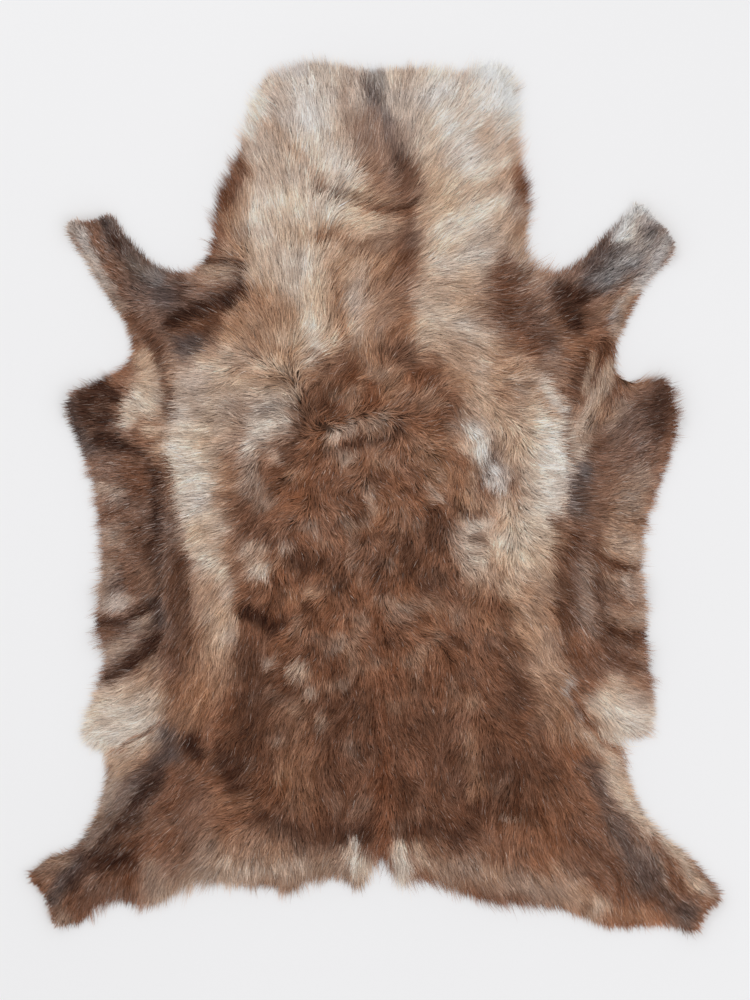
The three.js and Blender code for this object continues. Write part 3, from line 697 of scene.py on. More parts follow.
    patch("right edge, ochre", Tone.OCHRE, 0.6, (280, -525, 16), (260, -510, 14)),
    patch("right edge, pale", Tone.PALE_SAND, 0.6, (315, -560, 12), (300, -580, 11)),
    patch("right edge, rust end", Tone.TAN, 0.7, (345, -570, 16), (370, -580, 12)),
    patch("spine, loin", Tone.RUST, 0.35, (10, -120, 8), (10, -200, 10), (10, -260, 9)),
    patch("spine, rump", Tone.RUST, 0.5, (10, -290, 8), (15, -380, 12), (10, -440, 12)),
    patch("tail", Tone.RUST, 0.8, (10, -450, 12), (10, -485, 12)),
    patch("tail, dark root", Tone.DARK, 0.8, (-10, -465, 9)),
    patch("tail tuft, left", Tone.SAND, 0.9, (-40, -490, 10), (-20, -510, 15), (-15, -535, 12)),
    patch("left tuft, white", Tone.BONE, 1.0, (-30, -475, 6), (-30, -520, 6)),
    patch("tail tuft, right", Tone.PALE_SAND, 1.0, (30, -480, 10), (40, -515, 14), (40, -540, 11)),
    patch("beside the right tuft", Tone.SAND, 0.7, (60, -485, 8), (70, -505, 12)),
    # hind legs
    patch("left hind leg, rim", Tone.GREIGE, 1.0, (-350, -370, 22), (-370, -405, 18), (-405, -475, 11)),
    patch("left thigh", Tone.COCOA, 0.9, (-265, -380, 16), (-260, -440, 30), (-290, -500, 30)),
    patch("left thigh, dark", Tone.DARK, 0.4, (-265, -400, 16), (-275, -470, 26)),
    patch("left hind leg", Tone.BROWN, 1.0,
          (-275, -405, 30), (-315, -470, 30), (-350, -520, 34), (-405, -550, 28)),
    patch("left hind leg, charcoal", Tone.CHARCOAL, 0.95,
          (-290, -350, 12), (-320, -395, 20), (-385, -480, 20), (-450, -550, 15)),
    patch("left hind leg, dark", Tone.UMBER, 0.6, (-300, -375, 9), (-330, -425, 14), (-420, -540, 12)),
    patch("left hind leg, silvered", Tone.GREIGE, 0.4, (-330, -400, 8), (-365, -445, 8), (-395, -485, 7)),
    patch("left hind leg, umber", Tone.UMBER, 1.0, (-350, -490, 20), (-370, -505, 18)),
    patch("left hind leg, inner", Tone.COCOA, 0.5, (-380, -545, 22), (-335, -555, 16)),
    patch("left hind leg, end", Tone.GREIGE, 0.8, (-465, -510, 16), (-435, -510, 12)),
    patch("left hind leg, tip", Tone.GREIGE, 0.7, (-435, -580, 14)),
    patch("left stifle, spot", Tone.UMBER, 1.0, (-255, -335, 14), (-250, -350, 12)),
    patch("left stifle", Tone.CHARCOAL, 0.7, (-290, -325, 15), (-275, -355, 11)),
    patch("far left of the rump", Tone.GREIGE, 0.7, (-300, -540, 20), (-315, -510, 12)),
    patch("right hind leg, rim", Tone.SAND, 0.95, (320, -370, 16), (350, -415, 20), (455, -535, 14)),
    patch("right hind leg", Tone.BROWN, 0.9, (285, -465, 28), (315, -505, 28), (355, -545, 25)),
    patch("right hind leg, charcoal", Tone.CHARCOAL, 0.7,
          (295, -365, 12), (315, -415, 16), (345, -470, 18), (385, -535, 20), (425, -580, 16)),
    patch("right hind leg, streak", Tone.BROWN, 0.8, (385, -475, 6), (405, -510, 7), (425, -540, 8)),
    patch("right hind leg, pale line", Tone.PALE_GREIGE, 0.4,
          (370, -485, 6), (390, -510, 6), (410, -545, 5)),
    patch("right hind leg, grey end", Tone.GREIGE, 0.9, (465, -545, 14), (475, -555, 10)),
    patch("right hind leg, end", Tone.CHARCOAL, 0.7, (440, -570, 14), (440, -595, 11)),
    patch("right stifle", Tone.GREIGE, 0.6, (275, -305, 11), (300, -335, 12)),
)

# Creases, folds and thin streaks, laid over the patches: name, tone, width, strength, how far the
# coat sinks there, and the path. The umber and dark lines in the creases, folds and wrinkles are
# painted shade; the pale streaks are the coat's own colour.
STROKES = (
    streak("crease at the left armpit", Tone.UMBER, 5, 0.9, 5, (-285, 240), (-235, 265), (-180, 285)),
    streak("fold by the left foreleg", Tone.UMBER, 6, 0.85, 4, (-240, 335), (-190, 330), (-180, 285)),
    streak("crease of the left foreleg", Tone.UMBER, 4, 0.85, 4, (-275, 320), (-265, 280)),
    streak("left flank crease", Tone.DARK, 6, 0.9, 4, (-315, 230), (-290, 180), (-285, 115)),
    streak("wrinkle across the neck", Tone.UMBER, 3.5, 0.8, 5,
           (-80, 430), (-35, 415), (-10, 410), (20, 400), (40, 405), (55, 415)),
    streak("fold above the wrinkle", Tone.TAN, 4, 0.6, 3, (-110, 480), (-85, 450), (-70, 430)),
    streak("second wrinkle", Tone.TAN, 5, 0.75, 4, (-80, 360), (-55, 360), (-20, 345), (10, 335)),
    streak("groove of the withers", Tone.TAN, 4, 0.8, 3, (-55, 310), (-45, 220), (-20, 185), (-20, 155)),
    streak("crease of the back", Tone.UMBER, 4, 0.9, 5, (-75, 70), (-30, 80), (15, 85), (30, 90), (35, 105)),
    streak("curl at the head of the back", Tone.DARK, 5, 0.6, 3, (-45, 200), (-85, 160), (-110, 125)),
    streak("top fold, left flap", Tone.UMBER, 6, 0.85, 4, (-380, 90), (-355, 80), (-320, 65)),
    streak("middle fold, left flap", Tone.UMBER, 5, 0.85, 3, (-390, -175), (-345, -170), (-310, -150)),
    streak("low fold, left flap", Tone.UMBER, 6, 0.85, 3, (-370, -250), (-325, -225), (-300, -190)),
    streak("left valley line", Tone.UMBER, 4, 0.8, 4, (-305, 40), (-300, -45), (-305, -215)),
    streak("left band's dark edge", Tone.DARK, 6, 0.85, 4,
           (-295, 60), (-277, -30), (-265, -115), (-257, -195)),
    streak("streak from the pit", Tone.UMBER, 5, 0.7, 3, (-180, -160), (-145, -175), (-125, -165)),
    streak("crease of the left foot", Tone.RUST, 3, 0.9, 4, (-295, -310), (-350, -345), (-370, -355)),
    streak("second crease of it", Tone.OCHRE, 3, 0.8, 3, (-305, -320), (-325, -360), (-370, -390)),
    streak("edge of the right armpit", Tone.UMBER, 5, 0.9, 5, (255, 305), (260, 285), (275, 245)),
    streak("lower edge of the foreleg", Tone.UMBER, 5, 0.7, 4, (265, 300), (285, 275), (305, 285)),
    streak("fold below the foreleg", Tone.DARK, 4, 0.8, 3, (320, 225), (305, 175), (300, 160)),
    streak("right flank crease", Tone.DARK, 5, 0.85, 4, (295, 200), (280, 170), (270, 140)),
    streak("right band's dark edge", Tone.DARK, 5, 0.8, 4, (270, 145), (265, 85), (285, 0), (275, -35)),
    streak("ochre strands", Tone.TAN, 4, 0.85, 2, (190, 180), (225, 145), (250, 115)),
    streak("top crease, right flap", Tone.DARK, 4, 0.8, 3, (340, 165), (330, 150), (320, 140)),
    streak("middle fold, right flap", Tone.DARK, 5, 0.8, 3, (305, -75), (350, -95), (375, -95)),
    streak("low fold, right flap", Tone.DARK, 5, 0.8, 3, (310, -185), (350, -185), (380, -190)),
    streak("right valley line", Tone.DARK, 5, 0.7, 3, (300, -70), (305, -115), (320, -210)),
    streak("right stifle crease", Tone.RUST, 3.5, 0.95, 4, (275, -275), (315, -335), (355, -365)),
    streak("dark strip's edge", Tone.DARK, 5, 0.7, 2, (250, -55), (255, -155), (275, -240)),
    streak("pale line by the stifle", Tone.PALE_GREIGE, 4, 0.7, 0, (285, -320), (310, -345), (340, -375)),
    streak("dark side of the left leg", Tone.UMBER, 4, 0.5, 2, (-310, -390), (-365, -465), (-395, -495)),
    streak("crease of the left leg", Tone.DARK, 4, 0.6, 3, (-415, -475), (-405, -495), (-390, -505)),
    streak("white hair on the rump", Tone.IVORY, 2, 0.6, 0, (175, -440), (190, -445), (205, -440)),
)

# Which way the hair lies: places (x, y) and the heading there.
FLOW = (
    lie("neck", (-105, 585, 105), (-160, 560, 125), (-190, 470, 120), (-55, 515, 100), (5, 560, 90),
        (15, 470, 80), (70, 565, 55), (170, 575, 50), (190, 475, 50), (90, 490, 40), (105, 425, 35),
        (-65, 445, 70), (-30, 420, 25)),
    lie("foot of the neck", (-30, 390, 15), (15, 375, 25), (55, 365, 40), (5, 305, 40), (15, 260, 40),
        (10, 195, 60), (-40, 280, 65), (-105, 370, 95), (-215, 370, 115), (-145, 355, 105),
        (120, 365, 25), (195, 355, 50)),
    lie("left shoulder", (-105, 295, 95), (-125, 250, 100), (-160, 230, 120), (-210, 215, 140),
        (-90, 210, 90), (-190, 175, -175), (-140, 140, -145), (-205, 125, -170), (-70, 160, 50),
        (-205, 310, 170)),
    lie("right shoulder", (105, 295, 5), (135, 235, -5), (65, 250, 15), (210, 280, 10),
        (240, 195, -15), (105, 180, 0)),
    lie("left foreleg", (-260, 300, 170), (-335, 335, 145), (-400, 380, 140), (-315, 215, -130),
        (-330, 130, 175)),
    lie("right foreleg", (265, 305, 35), (330, 340, 40), (385, 385, 40), (320, 260, 35),
        (325, 190, -120), (300, 125, -125)),
    lie("left flank", (-240, 110, 180), (-245, 40, -180), (-235, -45, -170), (-225, -140, -130),
        (-245, -225, -120), (-285, -115, -120)),
    lie("right flank", (240, 120, 0), (250, 55, -5), (240, -30, -15), (230, -105, -50),
        (240, -195, -65), (280, 40, -5), (285, -100, -45), (285, -210, -50)),
    lie("left flap", (-415, 140, 170), (-370, 15, -175), (-355, -85, -165), (-355, -185, -150),
        (-355, -300, -165)),
    lie("right flap", (390, 140, 10), (330, 95, 45), (355, 25, 20), (350, -65, 0), (350, -155, -5),
        (350, -225, -15), (345, -290, -15)),
    lie("back", (-160, 85, -165), (-120, 25, -120), (-75, -30, -75), (-5, 55, -95), (5, -30, -100),
        (75, 25, -40), (160, 70, -60), (90, -45, -60), (160, -55, -60), (5, -125, -90),
        (-120, -115, -120), (125, -140, -65)),
    lie("loin and rump", (-180, -155, -120), (-120, -255, -110), (125, -255, -80), (5, -255, -90),
        (5, -365, -90), (-170, -350, -110), (-190, -420, -145), (145, -365, -80), (230, -335, -60)),
    lie("left hind leg", (-275, -310, -120), (-355, -380, -140), (-330, -420, -130),
        (-385, -490, -135), (-460, -535, -150), (-430, -580, -120), (-330, -540, -105)),
    lie("right hind leg", (300, -320, -50), (345, -370, -50), (370, -470, -50), (415, -535, -50),
        (460, -570, -35), (315, -490, -60)),
    lie("edge of the rump", (-245, -500, -125), (-190, -540, -105), (-90, -520, -95),
        (-20, -520, -90), (10, -475, -90), (40, -520, -85), (105, -520, -70), (190, -520, -60),
        (300, -560, -55)),
)


# ------------------------------------------------------------------ fields over the hide


class ValueNoise:
    """Smooth random values from -1 to 1 over the plane, the same on each run."""

    SIDE = 256

    def __init__(self, seed: int) -> None:
        """Fills the lattice that the values are read from."""
        self.lattice = np.random.default_rng(seed).uniform(-1.0, 1.0, (self.SIDE, self.SIDE))

    def at(self, x: Array, y: Array, size: float) -> Array:
        """One layer of noise.

        Args:
            x: Places across, in millimetres.
            y: Places along, in millimetres.
            size: The size of its lumps, in millimetres.

        Returns:
            A value from -1 to 1 at each place.
        """
        u, v = x / size, y / size
        column, row = np.floor(u).astype(int), np.floor(v).astype(int)
        across, along = soft_step(u - column, 0.0, 1.0), soft_step(v - row, 0.0, 1.0)
        left, right = column % self.SIDE, (column + 1) % self.SIDE
        low, high = row % self.SIDE, (row + 1) % self.SIDE
        lower = self.lattice[low, left] * (1.0 - across) + self.lattice[low, right] * across
        upper = self.lattice[high, left] * (1.0 - across) + self.lattice[high, right] * across
        return lower * (1.0 - along) + upper * along

    def rough(self, x: Array, y: Array, size: float, layers: int = 3) -> Array:
        """Several layers, each half as large and half as strong as the one before.

        Args:
            x: Places across, in millimetres.
            y: Places along, in millimetres.
            size: The size of the largest lumps, in millimetres.
            layers: How many layers there are.

        Returns:
            A value from about -1 to 1 at each place.
        """
        total, weight = np.zeros(np.shape(x)), 0.0
        for layer in range(layers):
            share = 0.5**layer
            offset = 37.0 * layer * size
            total += share * self.at(x + offset, y - offset, size * share)
            weight += share
        return total / weight


@dataclass
class Ground:
    """An even grid over the hide that fields are kept on."""

    half_width: float = 540.0
    half_length: float = 660.0
    step: float = 3.0

    def __post_init__(self) -> None:
        """Lays out the grid's own places."""
        self.columns = int(2 * self.half_width / self.step) + 1
        self.rows = int(2 * self.half_length / self.step) + 1
        across = np.linspace(-self.half_width, self.half_width, self.columns)
        along = np.linspace(-self.half_length, self.half_length, self.rows)
        self.x, self.y = np.meshgrid(across, along)

    def read(self, values: Array, x: Array, y: Array) -> Array:
        """Reads a field between its grid places.

        Args:
            values: The field, one row a line of the grid, with any number of channels.
            x: Places across.
            y: Places along.

        Returns:
            The field's value at each place.
        """
        u = np.clip((x + self.half_width) / self.step, 0.0, self.columns - 1.001)
        v = np.clip((y + self.half_length) / self.step, 0.0, self.rows - 1.001)
        column, row = u.astype(int), v.astype(int)
        across, along = u - column, v - row
        if values.ndim == 3:
            across, along = across[..., None], along[..., None]
        lower = values[row, column] * (1 - across) + values[row, column + 1] * across
        upper = values[row + 1, column] * (1 - across) + values[row + 1, column + 1] * across
        return lower * (1 - along) + upper * along


def nearest_on(x: Array, y: Array, start: Array, end: Array) -> tuple[Array, Array]:
    """How far each place is from a straight stretch, and where on it the nearest point lies.

    Args:
        x: Places across.
        y: Places along.
        start: One end.
        end: The other end.

    Returns:
        The distance at each place, and the nearest point's share of the way to the other end.
    """
    run = end - start
    along = ((x - start[0]) * run[0] + (y - start[1]) * run[1]) / max(run @ run, LEAST**2)
    held = np.clip(along, 0.0, 1.0)
    return np.hypot(x - start[0] - held * run[0], y - start[1] - held * run[1]), held


def distance_to_path(x: Array, y: Array, path: tuple[tuple[float, ...], ...]) -> Array:
    """How far each place is from a path, rounded over at its corners.

    Args:
        x: Places across.
        y: Places along.
        path: The path's points, each with its half width if it has one.

    Returns:
        The distance at each place, as a share of the half width if there is one.
    """
    points = np.array(path, float)
    nearest = np.full(np.shape(x), np.inf)
    for start, end in zip(points, (*points[1:], points[-1])):
        away, held = nearest_on(x, y, start[:2], end[:2])
        if len(start) == 3:
            away /= start[2] + held * (end[2] - start[2])
        nearest = np.minimum(nearest, away)
    return nearest


def unit(vectors: Array) -> Array:
    """The vectors, each at a length of 1."""
    return vectors / np.maximum(np.linalg.norm(vectors, axis=-1, keepdims=True), LEAST)


def turned(vectors: Array, angle: Array) -> Array:
    """The flat vectors, each turned anticlockwise by its own angle in radians."""
    cosine, sine = np.cos(angle), np.sin(angle)
    return np.stack((vectors[..., 0] * cosine - vectors[..., 1] * sine,
                     vectors[..., 0] * sine + vectors[..., 1] * cosine), axis=-1)


def strongest_line(lines: tuple[Line, ...], x: Array, y: Array) -> Array:
    """The greatest height or depth that any of the lines has at each place.

    Args:
        lines: Ridges or creases.
        x: Places across.
        y: Places along.

    Returns:
        The amount at each place, 0 away from every line.
    """
    most = np.zeros(np.shape(x))
    for line in lines:
        away = distance_to_path(x, y, line.path)
        most = np.maximum(most, line.amount * np.exp(-((away / line.width) ** 2)))
    return most


def blended_zones(zones: tuple[Zone, ...], x: Array, y: Array, base: float, weight: float) -> Array:
    """A value that passes softly from zone to zone.

    Args:
        zones: The zones and their values.
        x: Places across.
        y: Places along.
        base: The value where no zone reaches.
        weight: How strongly the base counts among the zones.

    Returns:
        The value at each place.
    """
    total, shares = np.full(np.shape(x), base * weight), np.full(np.shape(x), weight)
    for zone in zones:
        share = zone.share(x, y)
        total += share * zone.value
        shares += share
    return total / shares


def highest_zone(zones: tuple[Zone, ...], x: Array, y: Array, base: float) -> Array:
    """The base value, or a zone's own value where that stands above it."""
    most = np.full(np.shape(x), base)
    for zone in zones:
        most = np.maximum(most, base + (zone.value - base) * zone.share(x, y))
    return most


# ------------------------------------------------------------------ the hide's plan


def pushed(ground: Ground, seed: int, waves: tuple[tuple[float, float], ...]) -> tuple[Array, Array]:
    """The ground's places, pushed about so that nothing drawn on them keeps an even edge.

    Args:
        ground: The grid.
        seed: The seed of the first wave.
        waves: How far each wave pushes, and its size.

    Returns:
        The moved places, across and along.
    """
    moved = []
    for k, places in enumerate((ground.x, ground.y)):
        pushes = (reach * ValueNoise(seed + 4 * wave + k).at(ground.x, ground.y, size)
                  for wave, (reach, size) in enumerate(waves))
        moved.append(places + sum(pushes))
    return moved[0], moved[1]


@dataclass
class HidePlan:
    """The outline of the spread hide and the heights over it, in millimetres."""

    ground: Ground = field(default_factory=Ground)
    curve_steps: int = 3  # straight steps from one outline point to the next
    edge_thickness: float = 4.0  # of skin and laid hair at the hair tips
    edge_fade: float = 48.0  # how far in from the edge the coat gets its full depth
    base_pile: float = 20.0
    base_weight: float = 0.3
    least_pile: float = 3.5
    lift_floor: float = 0.6
    overhang_blur: int = 4  # outline steps either way that an overhang is averaged over
    waver: float = 0.25  # how much the overhang wavers along the edge, as a share
    waver_size: float = 30.0
    draw_rounds: int = 60  # in how many short steps the skin's edge is drawn in
    draw_step: float = 1.5
    seed: int = 11

    def __post_init__(self) -> None:
        """Works out every field of the plan."""
        self.edge = self._smooth_outline()
        self.centre = (self.edge.min(0) + self.edge.max(0)) / 2
        x, y = self.ground.x, self.ground.y
        self.depth, self.overhang = self._depth_inside(x, y)
        rise, run = np.gradient(self.depth, self.ground.step)
        length = np.maximum(np.hypot(run, rise), LEAST)
        self.outward = np.dstack((-run / length, -rise / length))
        self.lift = np.maximum(strongest_line(RIPPLES, x, y) - self.lift_floor, 0.0)
        grown = soft_step(self.depth, 0.0, self.edge_fade)
        pile = blended_zones(PILE_ZONES, x, y, self.base_pile, self.base_weight)
        pile += sum(zone.value * zone.share(x, y) for zone in SWELLS)
        pile = self.edge_thickness + (pile - self.edge_thickness) * grown
        sunk = pile - strongest_line(CREASES, x, y) * grown
        self.top = self.lift + np.maximum(self.least_pile, sunk)

    def _smooth_outline(self) -> Array:
        """The closed outline through every table point, as a centripetal spline."""
        knots = np.array([point for row in OUTLINE for point in row.points], float)
        line = []
        for i in range(len(knots)):
            before, start, end, after = (knots[(i + k) % len(knots)] for k in (-1, 0, 1, 2))
            gaps = [np.sqrt(np.hypot(*(b - a))) for a, b in
                    ((before, start), (start, end), (end, after))]
            leaving = ((start - before) / gaps[0] - (end - before) / (gaps[0] + gaps[1])
                       + (end - start) / gaps[1]) * gaps[1]
            arriving = ((end - start) / gaps[1] - (after - start) / (gaps[1] + gaps[2])
                        + (after - end) / gaps[2]) * gaps[1]
            for step in range(self.curve_steps):
                t = step / self.curve_steps
                line.append(start + leaving * t
                            + (3 * (end - start) - 2 * leaving - arriving) * t**2
                            + (2 * (start - end) + leaving + arriving) * t**3)
        return np.array(line)

    def _depth_inside(self, x: Array, y: Array) -> tuple[Array, Array]:
        """How far each place is inside the outline, and the hair's overhang nearest it.

        Args:
            x: Places across.
            y: Places along.

        Returns:
            The depth, negative outside the outline, and the overhang.
        """
        hangs = np.array([row.overhang for row in OUTLINE for _ in row.points], float)
        hangs = np.repeat(hangs, self.curve_steps)
        blur = self.overhang_blur
        kernel = np.ones(2 * blur + 1) / (2 * blur + 1)
        hangs = np.convolve(np.concatenate((hangs[-blur:], hangs, hangs[:blur])), kernel, "valid")
        nearest, overhang = np.full(x.shape, np.inf), np.zeros(x.shape)
        inside = np.zeros(x.shape, bool)
        for i, end in enumerate(self.edge):
            start = self.edge[i - 1]
            away, _ = nearest_on(x, y, start, end)
            closer = away < nearest
            nearest[closer] = away[closer]
            overhang[closer] = hangs[i]
            if start[1] != end[1]:
                crossing = start[0] + (y - start[1]) * (end[0] - start[0]) / (end[1] - start[1])
                inside ^= ((start[1] > y) != (end[1] > y)) & (x < crossing)
        return np.where(inside, nearest, -nearest), overhang

    def at(self, values: Array, x: Array, y: Array) -> Array:
        """One of the plan's fields, read at any places."""
        return self.ground.read(values, x, y)

    def skin_edge(self, spacing: float = 7.0) -> Array:
        """The edge of the cut skin, inside the hair tips by each stretch's overhang.

        Args:
            spacing: The distance between its points.

        Returns:
            The closed line's points, clockwise.
        """
        x, y = self.edge[:, 0].copy(), self.edge[:, 1].copy()
        noise = ValueNoise(self.seed)
        for _ in range(self.draw_rounds):
            share = 1.0 + self.waver * noise.at(x, y, self.waver_size)
            wanted = self.at(self.overhang, x, y) * share
            short = np.clip(wanted - self.at(self.depth, x, y), 0.0, self.draw_step)
            outward = self.at(self.outward, x, y)
            x -= short * outward[:, 0]
            y -= short * outward[:, 1]
        line = np.column_stack((x, y))
        closed = np.vstack((line, line[:1]))
        along = np.concatenate(([0.0], np.cumsum(np.hypot(*np.diff(closed, axis=0).T))))
        places = np.linspace(0.0, along[-1], int(along[-1] / spacing), endpoint=False)
        return np.column_stack([np.interp(places, along, closed[:, k]) for k in (0, 1)])


@dataclass
class HairFlow:
    """The way the hair lies, as unit vectors over the hide."""

    plan: HidePlan
    softness: float = 16.0  # millimetres over which one flow mark passes to the next
    fading: float = 1.8  # how fast a mark's pull fades with the square of its distance
    base_weight: float = 0.25  # how strongly the base ruffle counts among the zones
    ruffled_range: tuple[float, float] = (18.0, 50.0)  # degrees from smooth to ruffled
    swirls: tuple[tuple[float, float], ...] = ((62.0, 0.75), (26.0, 0.6), (12.0, 0.3))
    swirl_turn: float = 1.5  # how far the swirls turn the hair, as a share of the ruffle
    splay_reach: float = 26.0  # how far in from the edge the hair turns outwards
    splay: float = 0.9
    tuft_height: float = 5.0
    swell_height: float = 1.6
    strand_height: float = 0.7
    parting_depth: float = 3.0
    seed: int = 23

    def __post_init__(self) -> None:
        """Works out the headings, and the streaks that run along them."""
        ground = self.plan.ground
        x, y = ground.x, ground.y
        total = np.zeros((*x.shape, 2))
        for mark_x, mark_y, heading in (mark for lie in FLOW for mark in lie.marks):
            away = (x - mark_x) ** 2 + (y - mark_y) ** 2 + self.softness**2
            angle = np.radians(heading)
            total += away[..., None] ** -self.fading * np.array((np.cos(angle), np.sin(angle)))
        combed = total / np.linalg.norm(total, axis=2, keepdims=True)
        ruffle = blended_zones(RUFFLE_ZONES, x, y, BASE_RUFFLE, self.base_weight)
        self.ruffled = soft_step(ruffle, *self.ruffled_range)
        self.partings = self._partings()
        stray = np.zeros(x.shape)
        for k, (size, share) in enumerate(self.swirls):
            stray += share * ValueNoise(self.seed + k).at(x, y, size)
        lying = turned(combed, np.radians(ruffle * stray * self.swirl_turn))
        near = soft_step(self.splay_reach - self.plan.depth, 0.0, self.splay_reach)
        lying += self.plan.outward * (self.splay * near)[..., None]
        self.lying = unit(lying)
        self.streaks = self._streaks(seed=self.seed + 10, grain=4.0, reach=42.0)
        self.fine_streaks = self._streaks(seed=self.seed + 11, grain=3.0, reach=18.0)
        self.surface = self.plan.top + self._relief(ruffle)

    def _relief(self, ruffle: Array) -> Array:
        """The tufts and strands that stand out of the coat's even top.

        Args:
            ruffle: How ruffled the hair lies.

        Returns:
            Millimetres to add to the top of the coat.
        """
        ground = self.plan.ground
        grown = soft_step(self.plan.depth, 4.0, 45.0)
        lumps = ValueNoise(self.seed + 20).rough(ground.x, ground.y, 24.0, 3)
        tufts = soft_step(ruffle, 12.0, 50.0) * self.tuft_height * lumps
        noise = ValueNoise(self.seed + 21)
        broad = self.swell_height * noise.rough(ground.x, ground.y, 60.0, 2)
        sunk = np.zeros(ground.x.shape)
        for stroke in STROKES:
            away = distance_to_path(ground.x, ground.y, stroke.path)
            sunk = np.maximum(sunk, stroke.sink * np.exp(-((away / (0.9 * stroke.width)) ** 2)))
        sunk += self.parting_depth * self.partings * self.ruffled
        strands = self.strand_height * np.clip(self.streaks, -2.0, 2.0)
        return grown * (tufts + broad + strands) - sunk

    def _partings(self) -> Array:
        """Short curved lines where tufts part, from 0 away from them to 1 on them."""
        ground = self.plan.ground
        x, y = pushed(ground, self.seed + 30, ((9.0, 34.0), (4.0, 12.0)))
        lines = np.abs(ValueNoise(self.seed + 34).rough(x, y, 40.0, 2))
        shown = soft_step(ValueNoise(self.seed + 35).at(x, y, 26.0), -0.35, 0.45)
        return (1.0 - soft_step(lines, 0.0, 0.1)) * shown

    def _streaks(self, seed: int, grain: float, reach: float) -> Array:
        """Random values smeared along the flow, so that they lie as strands do.

        Args:
            seed: The seed of the grain.
            grain: The width of the streaks.
            reach: How far each streak runs either way.

        Returns:
            A value about 0 with a spread of about 1, over the ground.
        """
        ground = self.plan.ground
        noise = ValueNoise(seed).at(ground.x, ground.y, grain)
        total, stride = noise.copy(), 3.0
        for way in (-1.0, 1.0):
            x, y = ground.x.copy(), ground.y.copy()
            for _ in range(int(reach / stride)):
                heading = ground.read(self.lying, x, y)
                x += way * stride * heading[..., 0]
                y += way * stride * heading[..., 1]
                total += ground.read(noise, x, y)
        return total / total.std()


# ------------------------------------------------------------------ the coat's colours


@dataclass
class CoatPattern:
    """The coat's own colours, worked out from the table of markings, with painted shade laid into its
    creases, folds, armpits and partings.
    """

    flow: HairFlow
    lift: float = 1.94  # makes up for the light lost between the hairs
    contrast: float = 1.1  # how far the tones are drawn apart
    middle: tuple[float, float, float] = (0.52, 0.43, 0.375)  # the tone that this leaves alone
    patch_fade: tuple[float, float] = (0.2, 1.7)  # half widths over which a patch fades out
    stroke_spread: float = 0.75  # of a stroke's width, over which it fades out
    tuft_range: tuple[float, float] = (0.08, 0.6)  # noise from which a tuft shows, and fully
    pale_tufts: tuple[float, float] = (0.17, 0.35)  # cover on smooth hair, and more on ruffled
    dark_tufts: tuple[float, float] = (0.20, 0.32)  # the same
    # dark of the partings: painted shade in the gaps between tufts, and the darker under-hair that shows
    # there
    parting_shade: tuple[float, float] = (0.12, 0.5)  # the same
    specks: tuple[float, float] = (0.095, 0.06)  # change of light, in the same two shares
    broad: float = 0.06  # change of light over broad areas
    warmth: tuple[float, float, float] = (0.05, 0.0, -0.06)  # change of each channel
    streak_share: float = 0.032  # how strongly the long streaks show
    fine_streak_share: float = 0.04
    strand_split: tuple[float, float] = (0.6, 0.4)  # what of them scales the colour, and adds
    seed: int = 41

    def __post_init__(self) -> None:
        """Lays every marking over the base colour."""
        ground = self.flow.plan.ground
        x, y = pushed(ground, self.seed, ((7.0, 30.0), (4.5, 11.0)))
        colour = np.ones((*x.shape, 3)) * Tone.BACK.shares()
        for mark in MARKINGS:
            away = distance_to_path(x, y, mark.path)
            cover = mark.strength * (1.0 - soft_step(away, *self.patch_fade))
            colour += (mark.tone.shares() - colour) * cover[..., None]
        x, y = pushed(ground, self.seed, ((2.0, 22.0), (1.5, 8.0)))
        # The strokes: umber and dark lines in creases and folds are painted shade; pale streaks are the
        # coat's own colour.
        for stroke in STROKES:
            away = distance_to_path(x, y, stroke.path)
            spread = self.stroke_spread * stroke.width
            cover = stroke.strength * np.exp(-((away / spread) ** 2))
            colour += (stroke.tone.shares() - colour) * cover[..., None]
        middle = np.array(self.middle)
        colour = np.clip(middle + (colour - middle) * self.contrast, 0.02, 0.98)
        self.colour = self._mottled(colour, ground)
        self.silver = highest_zone(SILVER_ZONES, ground.x, ground.y, BASE_SILVER)

    def _mottled(self, colour: Array, ground: Ground) -> Array:
        """Adds the uneven tufts of the back, the dark partings as painted shade with darker under-hair, and
        the streaks of laid hair.

        Args:
            colour: The coat's colours, in sRGB shares.
            ground: The grid that they lie on.

        Returns:
            The uneven colours.
        """
        x, y = pushed(ground, self.seed + 20, ((8.0, 30.0), (4.0, 12.0)))
        tufts = ValueNoise(self.seed + 7).rough(x, y, 28.0, 3)
        pale = self._by_ruffle(self.pale_tufts) * soft_step(tufts, *self.tuft_range)
        dark = self._by_ruffle(self.dark_tufts) * soft_step(-tufts, *self.tuft_range)
        # The partings are drawn dark: painted shade in the gaps, and the darker under-hair that shows
        # through.
        parting_shade_cover = self._by_ruffle(self.parting_shade) * self.flow.partings
        for tone, share in ((Tone.GREIGE, pale), (Tone.DARK, dark), (Tone.UMBER, parting_shade_cover)):
            colour = colour + (tone.shares() - colour) * share[..., None]
        warmth = ValueNoise(self.seed + 9).rough(x, y, 40.0, 3)[..., None]
        colour = colour * (1.0 + warmth * np.array(self.warmth))
        broad = self.broad * ValueNoise(self.seed + 8).rough(x, y, 60.0, 3)
        specks = self._by_ruffle(self.specks) * ValueNoise(self.seed + 10).rough(x, y, 9.0, 2)
        strands = (self.streak_share * self.flow.streaks
                   + self.fine_streak_share * self.flow.fine_streaks)
        scaling, adding = (share * strands for share in self.strand_split)
        return colour * (1.0 + broad + specks + scaling)[..., None] + adding[..., None]

    def _by_ruffle(self, amounts: tuple[float, float]) -> Array:
        """An amount on smooth hair, with what ruffled hair adds to it."""
        smooth, added = amounts
        return smooth + added * self.flow.ruffled


# ------------------------------------------------------------------ finishes


